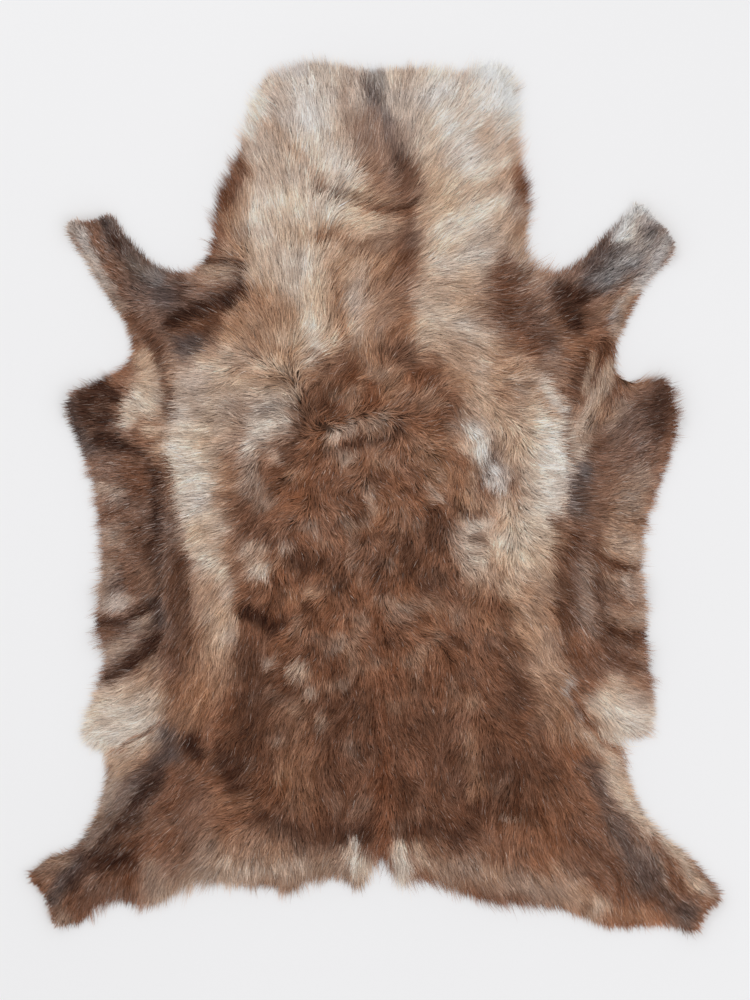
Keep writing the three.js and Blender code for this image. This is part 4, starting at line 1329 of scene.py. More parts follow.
class NodeSheet:
    """A node tree with short ways to add and join its nodes."""

    def __init__(self, tree: bpy.types.NodeTree) -> None:
        """Keeps the tree and empties it."""
        self.tree = tree
        tree.nodes.clear()

    def add(self, kind: str, values: dict[str | int, object] | None = None,
            **settings: object) -> bpy.types.Node:
        """Adds a node.

        Args:
            kind: The node's type.
            values: What its unlinked inputs hold, by name or place.
            **settings: What its own options are set to.

        Returns:
            The new node.
        """
        node = self.tree.nodes.new(kind)
        for name, value in settings.items():
            setattr(node, name, value)
        for socket, value in (values or {}).items():
            node.inputs[socket].default_value = value
        return node

    def join(self, source: bpy.types.NodeSocket, target: bpy.types.NodeSocket) -> None:
        """Links two sockets."""
        self.tree.links.new(source, target)

    def maths(self, operation: str, first: object, second: object) -> bpy.types.NodeSocket:
        """Adds a Math node on two values or sockets.

        Args:
            operation: What the node does.
            first: A number, or the socket that gives it.
            second: A number, or the socket that gives it.

        Returns:
            The node's result.
        """
        node = self.add("ShaderNodeMath", operation=operation)
        for socket, value in zip(node.inputs, (first, second)):
            if isinstance(value, bpy.types.NodeSocket):
                self.join(value, socket)
            else:
                socket.default_value = value
        return node.outputs[0]

    def grain(self, scale: float, low: float, high: float,
              stretch: tuple[float, float, float] = (1.0, 1.0, 1.0)) -> bpy.types.NodeSocket:
        """Adds a noise on the piece's own coordinates.

        Args:
            scale: How many lumps there are in a metre.
            low: The value at its lowest places.
            high: The value at its highest places.
            stretch: How much closer the lumps lie along each axis.

        Returns:
            The noise, spread from low to high.
        """
        place = self.add("ShaderNodeTexCoord")
        mapping = self.add("ShaderNodeMapping", {"Scale": stretch})
        noise = self.add("ShaderNodeTexNoise", {"Scale": scale, "Detail": 3.0})
        spread = self.add("ShaderNodeMapRange", {1: 0.3, 2: 0.7, 3: low, 4: high})
        self.join(place.outputs["Object"], mapping.inputs["Vector"])
        self.join(mapping.outputs["Vector"], noise.inputs["Vector"])
        self.join(noise.outputs[0], spread.inputs[0])
        return spread.outputs[0]


def new_finish(name: str, values: dict[str, float]
               ) -> tuple[bpy.types.Material, NodeSheet, bpy.types.Node]:
    """Starts a material.

    Args:
        name: The material's name.
        values: What the surface's inputs hold.

    Returns:
        The material, its nodes and its surface, which already leads to the output.
    """
    material = bpy.data.materials.new(name)
    material.use_nodes = True
    sheet = NodeSheet(material.node_tree)
    surface = sheet.add("ShaderNodeBsdfPrincipled", values)
    sheet.join(surface.outputs[0], sheet.add("ShaderNodeOutputMaterial").inputs["Surface"])
    return material, sheet, surface


class StrandShade:
    """The shader group that all hair shares: dark at the root as painted shade between the hairs, light at
    the tip, finely uneven.
    """

    NAME = "strand shade"
    ROOT_END = 0.6  # how far along the hair the root's shade reaches
    TIP_POWER = 3.0  # how late along the hair its tip grows light
    LUMPS = 420.0  # uneven spots in a metre
    ROUGHNESS = 0.72
    TIP_GLOSS = -0.12  # how much the roughness changes towards the tip

    @classmethod
    def group(cls) -> bpy.types.NodeTree:
        """The group, built the first time it is asked for."""
        return bpy.data.node_groups.get(cls.NAME) or cls._build()

    @classmethod
    def _build(cls) -> bpy.types.NodeTree:
        """Builds the group.

        Returns:
            A shader node group with the inputs Pigment, Along, Root Shade, Tip Light and Uneven,
            and the outputs Color and Roughness.
        """
        tree = bpy.data.node_groups.new(cls.NAME, "ShaderNodeTree")
        tree.interface.new_socket("Pigment", in_out="INPUT", socket_type="NodeSocketColor")
        for name in ("Along", "Painted Root Shade", "Tip Light", "Uneven"):
            tree.interface.new_socket(name, in_out="INPUT", socket_type="NodeSocketFloat")
        tree.interface.new_socket("Color", in_out="OUTPUT", socket_type="NodeSocketColor")
        tree.interface.new_socket("Roughness", in_out="OUTPUT", socket_type="NodeSocketFloat")
        sheet = NodeSheet(tree)
        given, out = sheet.add("NodeGroupInput"), sheet.add("NodeGroupOutput")
        # Painted shade: the colour darkens towards the root, for the shade that the hairs cast on one
        # another.
        ramp = sheet.add("ShaderNodeMapRange", {1: 0.0, 2: cls.ROOT_END, 4: 1.0},
                         interpolation_type="SMOOTHSTEP")
        sheet.join(given.outputs["Along"], ramp.inputs[0])
        sheet.join(given.outputs["Painted Root Shade"], ramp.inputs[3])
        late = sheet.maths("POWER", given.outputs["Along"], cls.TIP_POWER)
        tip = sheet.maths("ADD", 1.0, sheet.maths("MULTIPLY", late, given.outputs["Tip Light"]))
        shade = sheet.maths("MULTIPLY", ramp.outputs[0], tip)
        lumps = sheet.maths("MULTIPLY", sheet.grain(cls.LUMPS, -1.0, 1.0),
                            given.outputs["Uneven"])
        shade = sheet.maths("MULTIPLY", shade, sheet.maths("ADD", 1.0, lumps))
        tinted = sheet.add("ShaderNodeVectorMath", operation="SCALE")
        sheet.join(given.outputs["Pigment"], tinted.inputs[0])
        sheet.join(shade, tinted.inputs["Scale"])
        sheet.join(tinted.outputs[0], out.inputs["Color"])
        dull = sheet.maths("MULTIPLY_ADD", given.outputs["Along"], cls.TIP_GLOSS)
        dull.node.inputs[2].default_value = cls.ROUGHNESS
        sheet.join(dull, out.inputs["Roughness"])
        return tree


@dataclass(frozen=True)
class HairFinish:
    """The finish of reindeer hair: matt, with a faint sheen along the strands and painted shade at the
    roots.
    """

    name: str = "reindeer_hair"
    # how dark the root is painted, as shade between the hairs
    painted_root_shade: float = 0.55
    tip_light: float = 0.16
    uneven: float = 0.07
    gloss: float = 0.06
    sheen: float = 0.012

    def material(self) -> bpy.types.Material:
        """The finish as a material that reads each hair's own pigment.

        Returns:
            The new material.
        """
        material, sheet, surface = new_finish(self.name, {
            "Specular IOR Level": self.gloss, "Sheen Weight": self.sheen, "Sheen Roughness": 0.6})
        pigment = sheet.add("ShaderNodeAttribute", attribute_name=Hairs.PIGMENT)
        along = sheet.add("ShaderNodeAttribute", attribute_name=Hairs.ALONG)
        shade = sheet.add("ShaderNodeGroup", node_tree=StrandShade.group())
        shade.inputs["Painted Root Shade"].default_value = self.painted_root_shade
        shade.inputs["Tip Light"].default_value = self.tip_light
        shade.inputs["Uneven"].default_value = self.uneven
        sheet.join(pigment.outputs["Color"], shade.inputs["Pigment"])
        sheet.join(along.outputs["Fac"], shade.inputs["Along"])
        sheet.join(shade.outputs["Color"], surface.inputs["Base Color"])
        sheet.join(shade.outputs["Roughness"], surface.inputs["Roughness"])
        return material


@dataclass(frozen=True)
class SuedeFinish:
    """The finish of the tanned skin: pale suede with a fine nap."""

    name: str = "tanned_suede"
    pale: tuple[float, float, float, float] = (0.62, 0.50, 0.37, 1.0)
    dark: tuple[float, float, float, float] = (0.44, 0.33, 0.23, 1.0)
    roughness: tuple[float, float] = (0.78, 0.95)
    nap: float = 0.35

    def material(self) -> bpy.types.Material:
        """The finish as a material.

        Returns:
            The new material.
        """
        material, sheet, surface = new_finish(self.name, {"Specular IOR Level": 0.2,
                                                          "Sheen Weight": 0.2})
        broad, fine = sheet.grain(7.0, 0.0, 1.0), sheet.grain(90.0, -0.18, 0.18)
        colour = sheet.add("ShaderNodeMix", {6: self.pale, 7: self.dark}, data_type="RGBA")
        sheet.join(sheet.maths("ADD", broad, fine), colour.inputs[0])
        bump = sheet.add("ShaderNodeBump", {"Strength": self.nap, "Distance": 0.0006})
        sheet.join(sheet.grain(1500.0, 0.0, 1.0), bump.inputs["Height"])
        sheet.join(colour.outputs[2], surface.inputs["Base Color"])
        sheet.join(sheet.grain(40.0, *self.roughness), surface.inputs["Roughness"])
        sheet.join(bump.outputs[0], surface.inputs["Normal"])
        return material


@dataclass(frozen=True)
class FloorFinish:
    """The finish of the plain floor: pale matt board, very slightly uneven."""

    name: str = "pale_floor"
    pale: tuple[float, float, float, float] = (0.893, 0.899, 0.917, 1.0)
    shaded: tuple[float, float, float, float] = (0.883, 0.889, 0.907, 1.0)

    def material(self) -> bpy.types.Material:
        """The finish as a material.

        Returns:
            The new material.
        """
        material, sheet, surface = new_finish(self.name, {"Roughness": 0.9,
                                                          "Specular IOR Level": 0.1})
        colour = sheet.add("ShaderNodeMix", {6: self.pale, 7: self.shaded}, data_type="RGBA")
        sheet.join(sheet.grain(1.5, 0.0, 1.0), colour.inputs[0])
        sheet.join(colour.outputs[2], surface.inputs["Base Color"])
        return material


# ------------------------------------------------------------------ making meshes


def make_piece(name: str, points: Array, triangles: Array,
               material: bpy.types.Material) -> bpy.types.Object:
    """Makes a mesh object at the origin.

    Args:
        name: The piece's name.
        points: Its points in millimetres.
        triangles: Three point numbers for each face.
        material: Its finish.

    Returns:
        The new object, linked into the scene.
    """
    mesh = bpy.data.meshes.new(name)
    mesh.vertices.add(len(points))
    mesh.vertices.foreach_set("co", np.ascontiguousarray(points * MM, np.float32).ravel())
    mesh.loops.add(triangles.size)
    mesh.loops.foreach_set("vertex_index", np.ascontiguousarray(triangles, np.int32).ravel())
    mesh.polygons.add(len(triangles))
    starts = np.arange(0, triangles.size, 3, dtype=np.int32)
    mesh.polygons.foreach_set("loop_start", starts)
    mesh.update(calc_edges=True)
    mesh.shade_smooth()
    mesh.materials.append(material)
    piece = bpy.data.objects.new(name, mesh)
    bpy.context.scene.collection.objects.link(piece)
    return piece


def store(piece: bpy.types.Object, name: str, kind: str, values: Array) -> None:
    """Stores a value at each point of a piece.

    Args:
        piece: The piece.
        name: The attribute's name.
        kind: Its type, such as FLOAT or FLOAT_VECTOR.
        values: One row for each point.
    """
    part = {"FLOAT_VECTOR": "vector", "FLOAT_COLOR": "color"}.get(kind, "value")
    number = np.int32 if kind == "INT" else np.float32
    layer = piece.data.attributes.new(name, kind, "POINT")
    layer.data.foreach_set(part, np.ascontiguousarray(values, number).ravel())


def store_pigment(piece: bpy.types.Object, colours: Array) -> None:
    """Stores a linear colour at each point of a piece."""
    opaque = np.ones((len(colours), 1))
    store(piece, Hairs.PIGMENT, "FLOAT_COLOR", np.hstack((colours, opaque)))


def grow(piece: bpy.types.Object, tree: bpy.types.NodeTree, values: dict[str, object]) -> None:
    """Runs a tree of Geometry Nodes on a piece and keeps what comes out as its plain mesh.

    Args:
        piece: The piece.
        tree: The tree.
        values: What the tree's inputs are set to, by name.
    """
    modifier = piece.modifiers.new(tree.name, "NODES")
    modifier.node_group = tree
    for socket in tree.interface.items_tree:
        if socket.in_out == "INPUT" and socket.name in values:
            modifier[socket.identifier] = values[socket.name]
    graph = bpy.context.evaluated_depsgraph_get()
    grown = bpy.data.meshes.new_from_object(piece.evaluated_get(graph),
                                            preserve_all_data_layers=True, depsgraph=graph)
    piece.modifiers.clear()
    piece.data = grown


def fill_outline(edge: Array, inner: Array) -> tuple[Array, Array]:
    """Fills a closed line with triangles through given inner points.

    Args:
        edge: The closed line's points, anticlockwise.
        inner: Points inside it.

    Returns:
        All the points, and three point numbers for each triangle, anticlockwise. The edge's
        points come first, in their own order.
    """
    flat = [Vector(point) for point in np.vstack((edge, inner))]
    ring = list(range(len(edge)))
    points, _, faces, origins, _, _ = delaunay_2d_cdt(flat, [], [ring], 1, 1e-4)
    order = {origin[0]: k for k, origin in enumerate(origins) if origin}
    used = [order[k] for k in range(len(flat)) if k in order]
    new = {old: k for k, old in enumerate(used)}
    triangles = np.array([[new[k] for k in face] for face in faces if len(face) == 3])
    return np.array([points[k][:] for k in used]), triangles


def closed_sheet(edge_count: int, triangles: Array) -> Array:
    """The faces of a closed shell: a top, a bottom and the wall between them.

    Args:
        edge_count: How many points the edge has; they come first.
        triangles: The top's faces, anticlockwise from above.

    Returns:
        Three point numbers for each face, with the bottom's points after all the top's.
    """
    count = int(triangles.max()) + 1
    here = np.arange(edge_count)
    there = np.roll(here, -1)
    lower = np.column_stack((here, here + count, there + count))
    upper = np.column_stack((here, there + count, there))
    return np.vstack((triangles, triangles[:, ::-1] + count, lower, upper))


# ------------------------------------------------------------------ the blades' nodes


class BladeNodes:
    """Geometry Nodes that put a blade on every root and bend it along its hair's own line."""

    SPOT = "Spot"  # with a number: where the hair's line passes
    SIDE = "Side"  # half of the blade's width, as a share of the layer's own
    STATION = "Station"  # which spot a point of the blade belongs to
    HAND = "Hand"  # how far to the blade's left that point lies

    def __init__(self, spots: int) -> None:
        """Takes how many spots a hair's line has, with its root and its tip."""
        self.spots = spots

    def build(self) -> bpy.types.NodeTree:
        """Builds the tree.

        Returns:
            The tree. Its inputs are the roots, the blade, the width in metres and the finish.
        """
        tree = bpy.data.node_groups.new("hair_blades", "GeometryNodeTree")
        for name, kind in (("Roots", "Geometry"), ("Blade", "Object"), ("Width", "Float"),
                           ("Finish", "Material")):
            tree.interface.new_socket(name, in_out="INPUT", socket_type=f"NodeSocket{kind}")
        tree.interface.new_socket("Hair", in_out="OUTPUT", socket_type="NodeSocketGeometry")
        sheet = NodeSheet(tree)
        given = sheet.add("NodeGroupInput")
        blade = sheet.add("GeometryNodeObjectInfo")
        spread = sheet.add("GeometryNodeInstanceOnPoints")
        realized = sheet.add("GeometryNodeRealizeInstances")
        bent = sheet.add("GeometryNodeSetPosition")
        dressed = sheet.add("GeometryNodeSetMaterial")
        result = sheet.add("NodeGroupOutput")
        sheet.join(given.outputs["Blade"], blade.inputs["Object"])
        sheet.join(given.outputs["Roots"], spread.inputs["Points"])
        sheet.join(blade.outputs["Geometry"], spread.inputs["Instance"])
        sheet.join(spread.outputs["Instances"], realized.inputs["Geometry"])
        sheet.join(realized.outputs["Geometry"], bent.inputs["Geometry"])
        sheet.join(self._places(sheet, given.outputs["Width"]), bent.inputs["Position"])
        sheet.join(bent.outputs["Geometry"], dressed.inputs["Geometry"])
        sheet.join(given.outputs["Finish"], dressed.inputs["Material"])
        sheet.join(dressed.outputs["Geometry"], result.inputs["Hair"])
        return tree

    def _places(self, sheet: NodeSheet, width: bpy.types.NodeSocket) -> bpy.types.NodeSocket:
        """Works out where each point of a blade goes.

        Args:
            sheet: The tree's nodes.
            width: The layer's width.

        Returns:
            The place of each point.
        """
        line = sheet.add("GeometryNodeIndexSwitch", data_type="VECTOR")
        while len(line.index_switch_items) < self.spots:
            line.index_switch_items.new()
        sheet.join(self._stored(sheet, self.STATION, "INT"), line.inputs["Index"])
        for spot in range(self.spots):
            sheet.join(self._stored(sheet, f"{self.SPOT}{spot}", "FLOAT_VECTOR"),
                       line.inputs[spot + 1])
        hand = self._stored(sheet, self.HAND, "FLOAT")
        half = sheet.add("ShaderNodeVectorMath", operation="SCALE")
        sheet.join(self._stored(sheet, self.SIDE, "FLOAT_VECTOR"), half.inputs[0])
        sheet.join(sheet.maths("MULTIPLY", hand, width), half.inputs["Scale"])
        place = sheet.add("ShaderNodeVectorMath", operation="ADD")
        sheet.join(line.outputs[0], place.inputs[0])
        sheet.join(half.outputs[0], place.inputs[1])
        return place.outputs[0]

    def _stored(self, sheet: NodeSheet, name: str, kind: str) -> bpy.types.NodeSocket:
        """Reads a stored attribute.

        Args:
            sheet: The tree's nodes.
            name: The attribute's name.
            kind: Its type.

        Returns:
            Its value.
        """
        node = sheet.add("GeometryNodeInputNamedAttribute", {"Name": name}, data_type=kind)
        return next(socket for socket in node.outputs if socket.enabled)

    def clear(self, piece: bpy.types.Object) -> None:
        """Takes the attributes that only these nodes read off a finished piece."""
        spots = [f"{self.SPOT}{spot}" for spot in range(self.spots)]
        for name in (*spots, self.SIDE, self.STATION, self.HAND):
            piece.data.attributes.remove(piece.data.attributes[name])


# ------------------------------------------------------------------ the skin and underfur


@dataclass
class Skin:
    """The cut and tanned skin that carries the coat."""

    plan: HidePlan
    thickness: float = 1.8
    grid: float = 10.0
    finish: SuedeFinish = field(default_factory=SuedeFinish)

    def build(self) -> bpy.types.Object:
        """Makes the skin as one thin closed sheet.

        Returns:
            The finished piece.
        """
        self.edge = self.plan.skin_edge()[::-1]
        points, triangles = fill_outline(self.edge, inner_points(self.plan, self.grid))
        lift = self.plan.at(self.plan.lift, points[:, 0], points[:, 1])
        top = np.column_stack((points, lift + self.thickness))
        bottom = np.column_stack((points, lift))
        faces = closed_sheet(len(self.edge), triangles)
        return make_piece("hide_skin", place(self.plan, np.vstack((top, bottom))), faces,
                          self.finish.material())


@dataclass
class Underfur:
    """The short dense wool close to the skin, as one closed felt."""

    coat: CoatPattern
    skin: Skin
    grid: float = 8.0
    below_tips: float = 8.0  # how far it stays under the top of the hair
    least: float = 1.0
    overlap: float = 0.2  # how far its foot sinks into the skin
    # Painted shade: the felt lies deep under the hair, so it takes the strand's darker root part and its
    # pigment is drawn darker still.
    along: float = 0.5  # the part of a hair whose shade it has
    shade: float = 0.62

    def build(self, material: bpy.types.Material) -> bpy.types.Object:
        """Makes the felt.

        Args:
            material: The hair's own finish.

        Returns:
            The finished piece.
        """
        plan = self.coat.flow.plan
        points, triangles = fill_outline(self.skin.edge, inner_points(plan, self.grid))
        x, y = points.T
        foot = plan.at(plan.lift, x, y) + self.skin.thickness - self.overlap
        crown = plan.at(self.coat.flow.surface, x, y) - self.below_tips
        crown = np.maximum(crown, foot + self.least)
        heights = np.concatenate((crown, foot))
        faces = closed_sheet(len(self.skin.edge), triangles)
        flat = np.vstack((points, points))
        piece = make_piece("underfur", place(plan, np.column_stack((flat, heights))), faces,
                           material)
        # the felt's pigment drawn darker, as painted shade under the hair
        colours = to_linear(plan.at(self.coat.colour, x, y) * self.shade)
        store_pigment(piece, np.vstack((colours, colours)))
        store(piece, Hairs.ALONG, "FLOAT", np.full(len(flat), self.along))
        return piece


def inner_points(plan: HidePlan, spacing: float, clear: float = 4.0) -> Array:
    """Evenly spread points inside the cut skin.

    Args:
        plan: The hide's plan.
        spacing: The distance between them.
        clear: How far they stay from the skin's edge.

    Returns:
        One row for each point.
    """
    ground = plan.ground
    across = np.arange(-ground.half_width, ground.half_width, spacing)
    along = np.arange(-ground.half_length, ground.half_length, spacing * ROW_GAP)
    x, y = np.meshgrid(across, along)
    x[1::2] += spacing / 2
    x, y = x.ravel(), y.ravel()
    kept = plan.at(plan.depth, x, y) > plan.at(plan.overhang, x, y) * (1.0 + plan.waver) + clear
    return np.column_stack((x[kept], y[kept]))


def place(plan: HidePlan, points: Array) -> Array:
    """Moves points of the tables to the frame, whose origin is under the middle."""
    return points - np.array((*plan.centre, 0.0))


# ------------------------------------------------------------------ the hair


@dataclass
class Tufts:
    """Centres that the tips of nearby hairs draw together to, one in each square."""

    size: float
    seed: int

    def nearest(self, x: Array, y: Array) -> tuple[Array, Array, Array]:
        """Finds the tuft that each hair belongs to.

        Args:
            x: The hairs' roots across.
            y: The hairs' roots along.

        Returns:
            Each hair's tuft centre across and along, and the tuft's own random value from -1 to 1.
        """
        side = 256
        rng = np.random.default_rng(self.seed)
        shift_x, shift_y = rng.uniform(0.05, 0.95, (2, side, side))
        own = rng.uniform(-1.0, 1.0, (side, side))
        column, row = np.floor(x / self.size).astype(int), np.floor(y / self.size).astype(int)
        best = np.full(x.shape, np.inf)
        found = [np.zeros(x.shape) for _ in range(3)]
        for right in (-1, 0, 1):
            for up in (-1, 0, 1):
                i, j = (column + right) % side, (row + up) % side
                centre_x = (column + right + shift_x[j, i]) * self.size
                centre_y = (row + up + shift_y[j, i]) * self.size
                away = (centre_x - x) ** 2 + (centre_y - y) ** 2
                closer = away < best
                best = np.where(closer, away, best)
                for kept, new in zip(found, (centre_x, centre_y, own[j, i])):
                    kept[closer] = new[closer]
        return found[0], found[1], found[2]


@dataclass
class Hairs:
    """One layer of the coat: many single hairs, each a narrow tapering blade."""

    PIGMENT = "Pigment"
    ALONG = "Along"
    QUICK_GAP = 1.6
    QUICK_WIDTH = 1.5  # how much wider the hairs are in one
    LENGTHS = (0.72, 1.18)  # the shortest and the longest hair, as shares of the zone's length
    TUFT_TURN = 9.0  # degrees that a whole tuft may turn
    SHAGGY = (8.0, 17.0)  # overhangs at which an edge starts to be shaggy, and fully is
    WISP_LENGTH = 1.45  # how much longer the hair of a wisp is
    WISP_PAST = (2.0, 17.0)  # how far past the outline it may end
    GATHERED = (0.5, 1.3)  # the least and the most that a hair draws to its tuft
    SEEN = 0.55  # how far along it a hair shows most
    SPLAY_REACH = 45.0  # how far in from the edge splayed hair turns outwards
    LEAST_KEPT = 0.3  # the least share of its length that one trim leaves
    LEAST_LENGTH = 5.0
    BOW = 0.05  # how far hairs bend sideways, as a share of their length
    ROOT_CLEAR = 1.5  # how far a root stays above the skin's underside
    SINKS = (0.7, 1.15)  # the shallowest and the deepest root, as shares of the sink
    RISES = (-0.6, 1.0)  # the lowest and the highest tip, as shares of the rise
    LOWEST = 0.8  # how far the line of a hair stays above the floor
    COLOUR_STRAY = 2.2  # how far from itself a hair takes its colour
    SILVERED = (0.15, 0.45)  # how far a pale hair's colour goes to silver
    HAIR_LIGHT = 0.12  # how much single hairs differ in light
    TUFT_LIGHT = 0.06  # how much whole tufts do
    DARK_FROM = 0.93  # the draw from which a hair is a dark one
    DARK_LIGHT = 0.7
    HAZE = 0.02  # how much grey single hairs gain or lose
    LIT = (0.004, 0.93)  # the darkest and the lightest pigment
    ROLL = 0.4  # radians that the blades roll about their own line
    WIDTHS = (0.7, 1.3)  # the narrowest and the widest hair, as shares of the width
    TAPER = 0.3  # of the width, lost from one station to the next
    MAP_MARGIN = 0.04  # clear rim of a hair's square on the map

    name: str
    seed: int
    spacing: float  # between roots
    width: float
    reach: float = 1.0  # length as a share of the zone's own length
    sink: float = 11.0  # how far the root lies under the top of the coat
    rise: float = 1.5  # how far a tip may stand above it
    tuft: float = 11.0  # the size of the tufts
    gather: float = 0.4  # how strongly tips draw together
    stray: float = 7.0  # degrees that single hairs stray
    stations: tuple[float, ...] = (0.42,)  # places along the hair where it has its width
    band: float = 1e6  # how far in from the skin's edge the roots reach
    # below 1 the layer's pigment is drawn darker, as painted shade for layers that lie deep in the coat;
    # above 1 it is drawn lighter
    shade: float = 1.0
    silver: float = 1.0
    past_edge: float = 6.0  # how far a tip may pass the outline
    splay: float = 0.0  # how strongly the hair turns straight outwards at the edge
    wisps: float = 0.0  # the share of the tufts that end in long wisps where the edge is shaggy

    def build(self, coat: CoatPattern, material: bpy.types.Material) -> bpy.types.Object:
        """Makes the layer as one mesh.

        Args:
            coat: The coat's colours, with the flow and the plan under them.
            material: The hair's finish.

        Returns:
            The finished piece.
        """
        rng = np.random.default_rng(self.seed)
        flow, plan = coat.flow, coat.flow.plan
        x, y = self._roots(plan, rng)
        tuft_x, tuft_y, tuft_own = Tufts(self.tuft, self.seed + 1).nearest(x, y)
        heading = self._turned(flow, x, y, np.radians(self.stray) * rng.standard_normal(len(x)))
        tuft_heading = self._turned(flow, tuft_x, tuft_y, np.radians(self.TUFT_TURN) * tuft_own)
        length = blended_zones(LENGTH_ZONES, x, y, BASE_LENGTH, BASE_SHARE) * self.reach
        length *= rng.uniform(*self.LENGTHS, len(x))
        shaggy = soft_step(plan.at(plan.overhang, x, y), *self.SHAGGY)
        wispy = tuft_own > 1.0 - 2.0 * self.wisps * shaggy
        length = np.where(wispy, self.WISP_LENGTH * length, length)
        allowed = rng.uniform(-2.0, 1.0, len(x)) * self.past_edge
        allowed = np.where(wispy, rng.uniform(*self.WISP_PAST, len(x)), allowed)
        length = self._trimmed(plan, x, y, heading, length, allowed)
        root = np.column_stack((x, y))
        tip = root + heading * length[:, None]
        middle = np.column_stack((tuft_x, tuft_y)) + tuft_heading * length[:, None]
        tip += (middle - tip) * (self.gather * rng.uniform(*self.GATHERED, len(x)))[:, None]
        line = self._line(flow, root, tip, heading, length, rng)
        seen = root + heading * (self.SEEN * length)[:, None]
        colours = self._colours(coat, seen, tuft_own, rng)
        return self._mesh(plan, line, heading, colours, material, rng)

    def _roots(self, plan: HidePlan, rng: np.random.Generator) -> tuple[Array, Array]:
        """Spreads the roots over the skin, one to each small square."""
        spacing = self.spacing * 1.0
        across = np.arange(-plan.ground.half_width, plan.ground.half_width, spacing)
        along = np.arange(-plan.ground.half_length, plan.ground.half_length, spacing)
        x, y = np.meshgrid(across, along)
        x = x.ravel() + rng.uniform(0.0, spacing, x.size)
        y = y.ravel() + rng.uniform(0.0, spacing, y.size)
        inside = plan.at(plan.depth, x, y) - plan.at(plan.overhang, x, y)
        kept = (inside > 0.0) & (inside < self.band)
        return x[kept], y[kept]

    def _turned(self, flow: HairFlow, x: Array, y: Array, stray: Array) -> Array:
        """The flow's heading at each place, strayed, and turned outwards near the edge.

        Args:
            flow: The lie of the hair.
            x: Places across.
            y: Places along.
            stray: Radians that each hair strays.

        Returns:
            A unit vector for each hair.
        """
        plan = flow.plan
        lying = plan.at(flow.lying, x, y)
        if self.splay:
            near = np.clip(1.0 - plan.at(plan.depth, x, y) / self.SPLAY_REACH, 0.0, 1.0)
            lying = lying + plan.at(plan.outward, x, y) * (self.splay * near)[:, None]
        return turned(unit(lying), stray)

    def _trimmed(self, plan: HidePlan, x: Array, y: Array, heading: Array, length: Array,
                 allowed: Array) -> Array:
        """Shortens the hairs that would reach too far past the outline.

        Args:
            plan: The hide's plan.
            x: Roots across.
            y: Roots along.
            heading: Unit vectors.
            length: The hairs' lengths.
            allowed: How far past the outline each tip may be.

        Returns:
            The lengths, shortened where needed.
        """
        allowed = allowed + sum(zone.value * zone.share(x, y) for zone in TRIM_ZONES)
        for _ in range(3):
            tip = np.column_stack((x, y)) + heading * length[:, None]
            past = -plan.at(plan.depth, tip[:, 0], tip[:, 1])
            root_depth = np.maximum(plan.at(plan.depth, x, y), 1.0)
            share = (root_depth + allowed) / np.maximum(root_depth + past, LEAST)
            cut = np.maximum(length * np.clip(share, self.LEAST_KEPT, 1.0), self.LEAST_LENGTH)
            length = np.where(past > allowed, cut, length)
        return length

    def _line(self, flow: HairFlow, root: Array, tip: Array, heading: Array, length: Array,
              rng: np.random.Generator) -> Array:
        """The points along the middle of each hair.

        Args:
            flow: The lie of the hair, with the coat's surface.
            root: Roots on the plan.
            tip: Tips on the plan.
            heading: Unit vectors at the roots.
            length: The hairs' lengths.
            rng: The layer's random numbers.

        Returns:
            For each hair its root, its stations and its tip, as points in space.
        """
        plan = flow.plan
        count = len(root)
        bow = rng.normal(0.0, self.BOW, count) * length
        side = np.column_stack((-heading[:, 1], heading[:, 0]))
        floor = plan.at(plan.lift, *root.T) + self.ROOT_CLEAR
        sink = self.sink * rng.uniform(*self.SINKS, count)
        low = np.maximum(plan.at(flow.surface, *root.T) - sink, floor)
        rise = self.rise * rng.uniform(*self.RISES, count)
        rows = [np.column_stack((root, low))]
        for share in (*self.stations, 1.0):
            ahead = root + heading * (share * length)[:, None]
            straight = root + (tip - root) * share
            flat = ahead + (straight - ahead) * share
            flat = flat + side * (bow * 4.0 * share * (1.0 - share))[:, None]
            crown = plan.at(flow.surface, *flat.T) + rise * share
            height = low + (crown - low) * np.sin(0.5 * np.pi * min(1.0, share * 1.35))
            rows.append(np.column_stack((flat, np.maximum(height, self.LOWEST))))
        return np.stack(rows, axis=1)

    def _colours(self, coat: CoatPattern, seen: Array, tuft_own: Array,
                 rng: np.random.Generator) -> Array:
        """Each hair's pigment, in linear light.

        Args:
            coat: The coat's colours.
            seen: The place where each hair shows most.
            tuft_own: The random value of each hair's tuft.
            rng: The layer's random numbers.

        Returns:
            One colour for each hair.
        """
        plan = coat.flow.plan
        count = len(seen)
        x = seen[:, 0] + rng.normal(0.0, self.COLOUR_STRAY, count)
        y = seen[:, 1] + rng.normal(0.0, self.COLOUR_STRAY, count)
        colour = plan.at(coat.colour, x, y)
        draw = rng.uniform(0.0, 1.0, count)
        chosen = draw < plan.at(coat.silver, x, y) * self.silver
        pale = chosen * rng.uniform(*self.SILVERED, count)
        colour = colour + (Tone.SILVER.shares() + 0.04 - colour) * pale[:, None]
        light = 1.0 + self.HAIR_LIGHT * rng.standard_normal(count) + self.TUFT_LIGHT * tuft_own
        light = np.where(draw > self.DARK_FROM, light * self.DARK_LIGHT, light)
        colour = colour * light[:, None] + rng.normal(0.0, self.HAZE, (count, 1))
        # The layer's shade darkens the pigment of the deep layers as painted shade.
        lit = 1.0 - (1.0 - to_linear(np.clip(colour, 0.0, 0.98))) ** (coat.lift * self.shade)
        return np.clip(lit, *self.LIT)

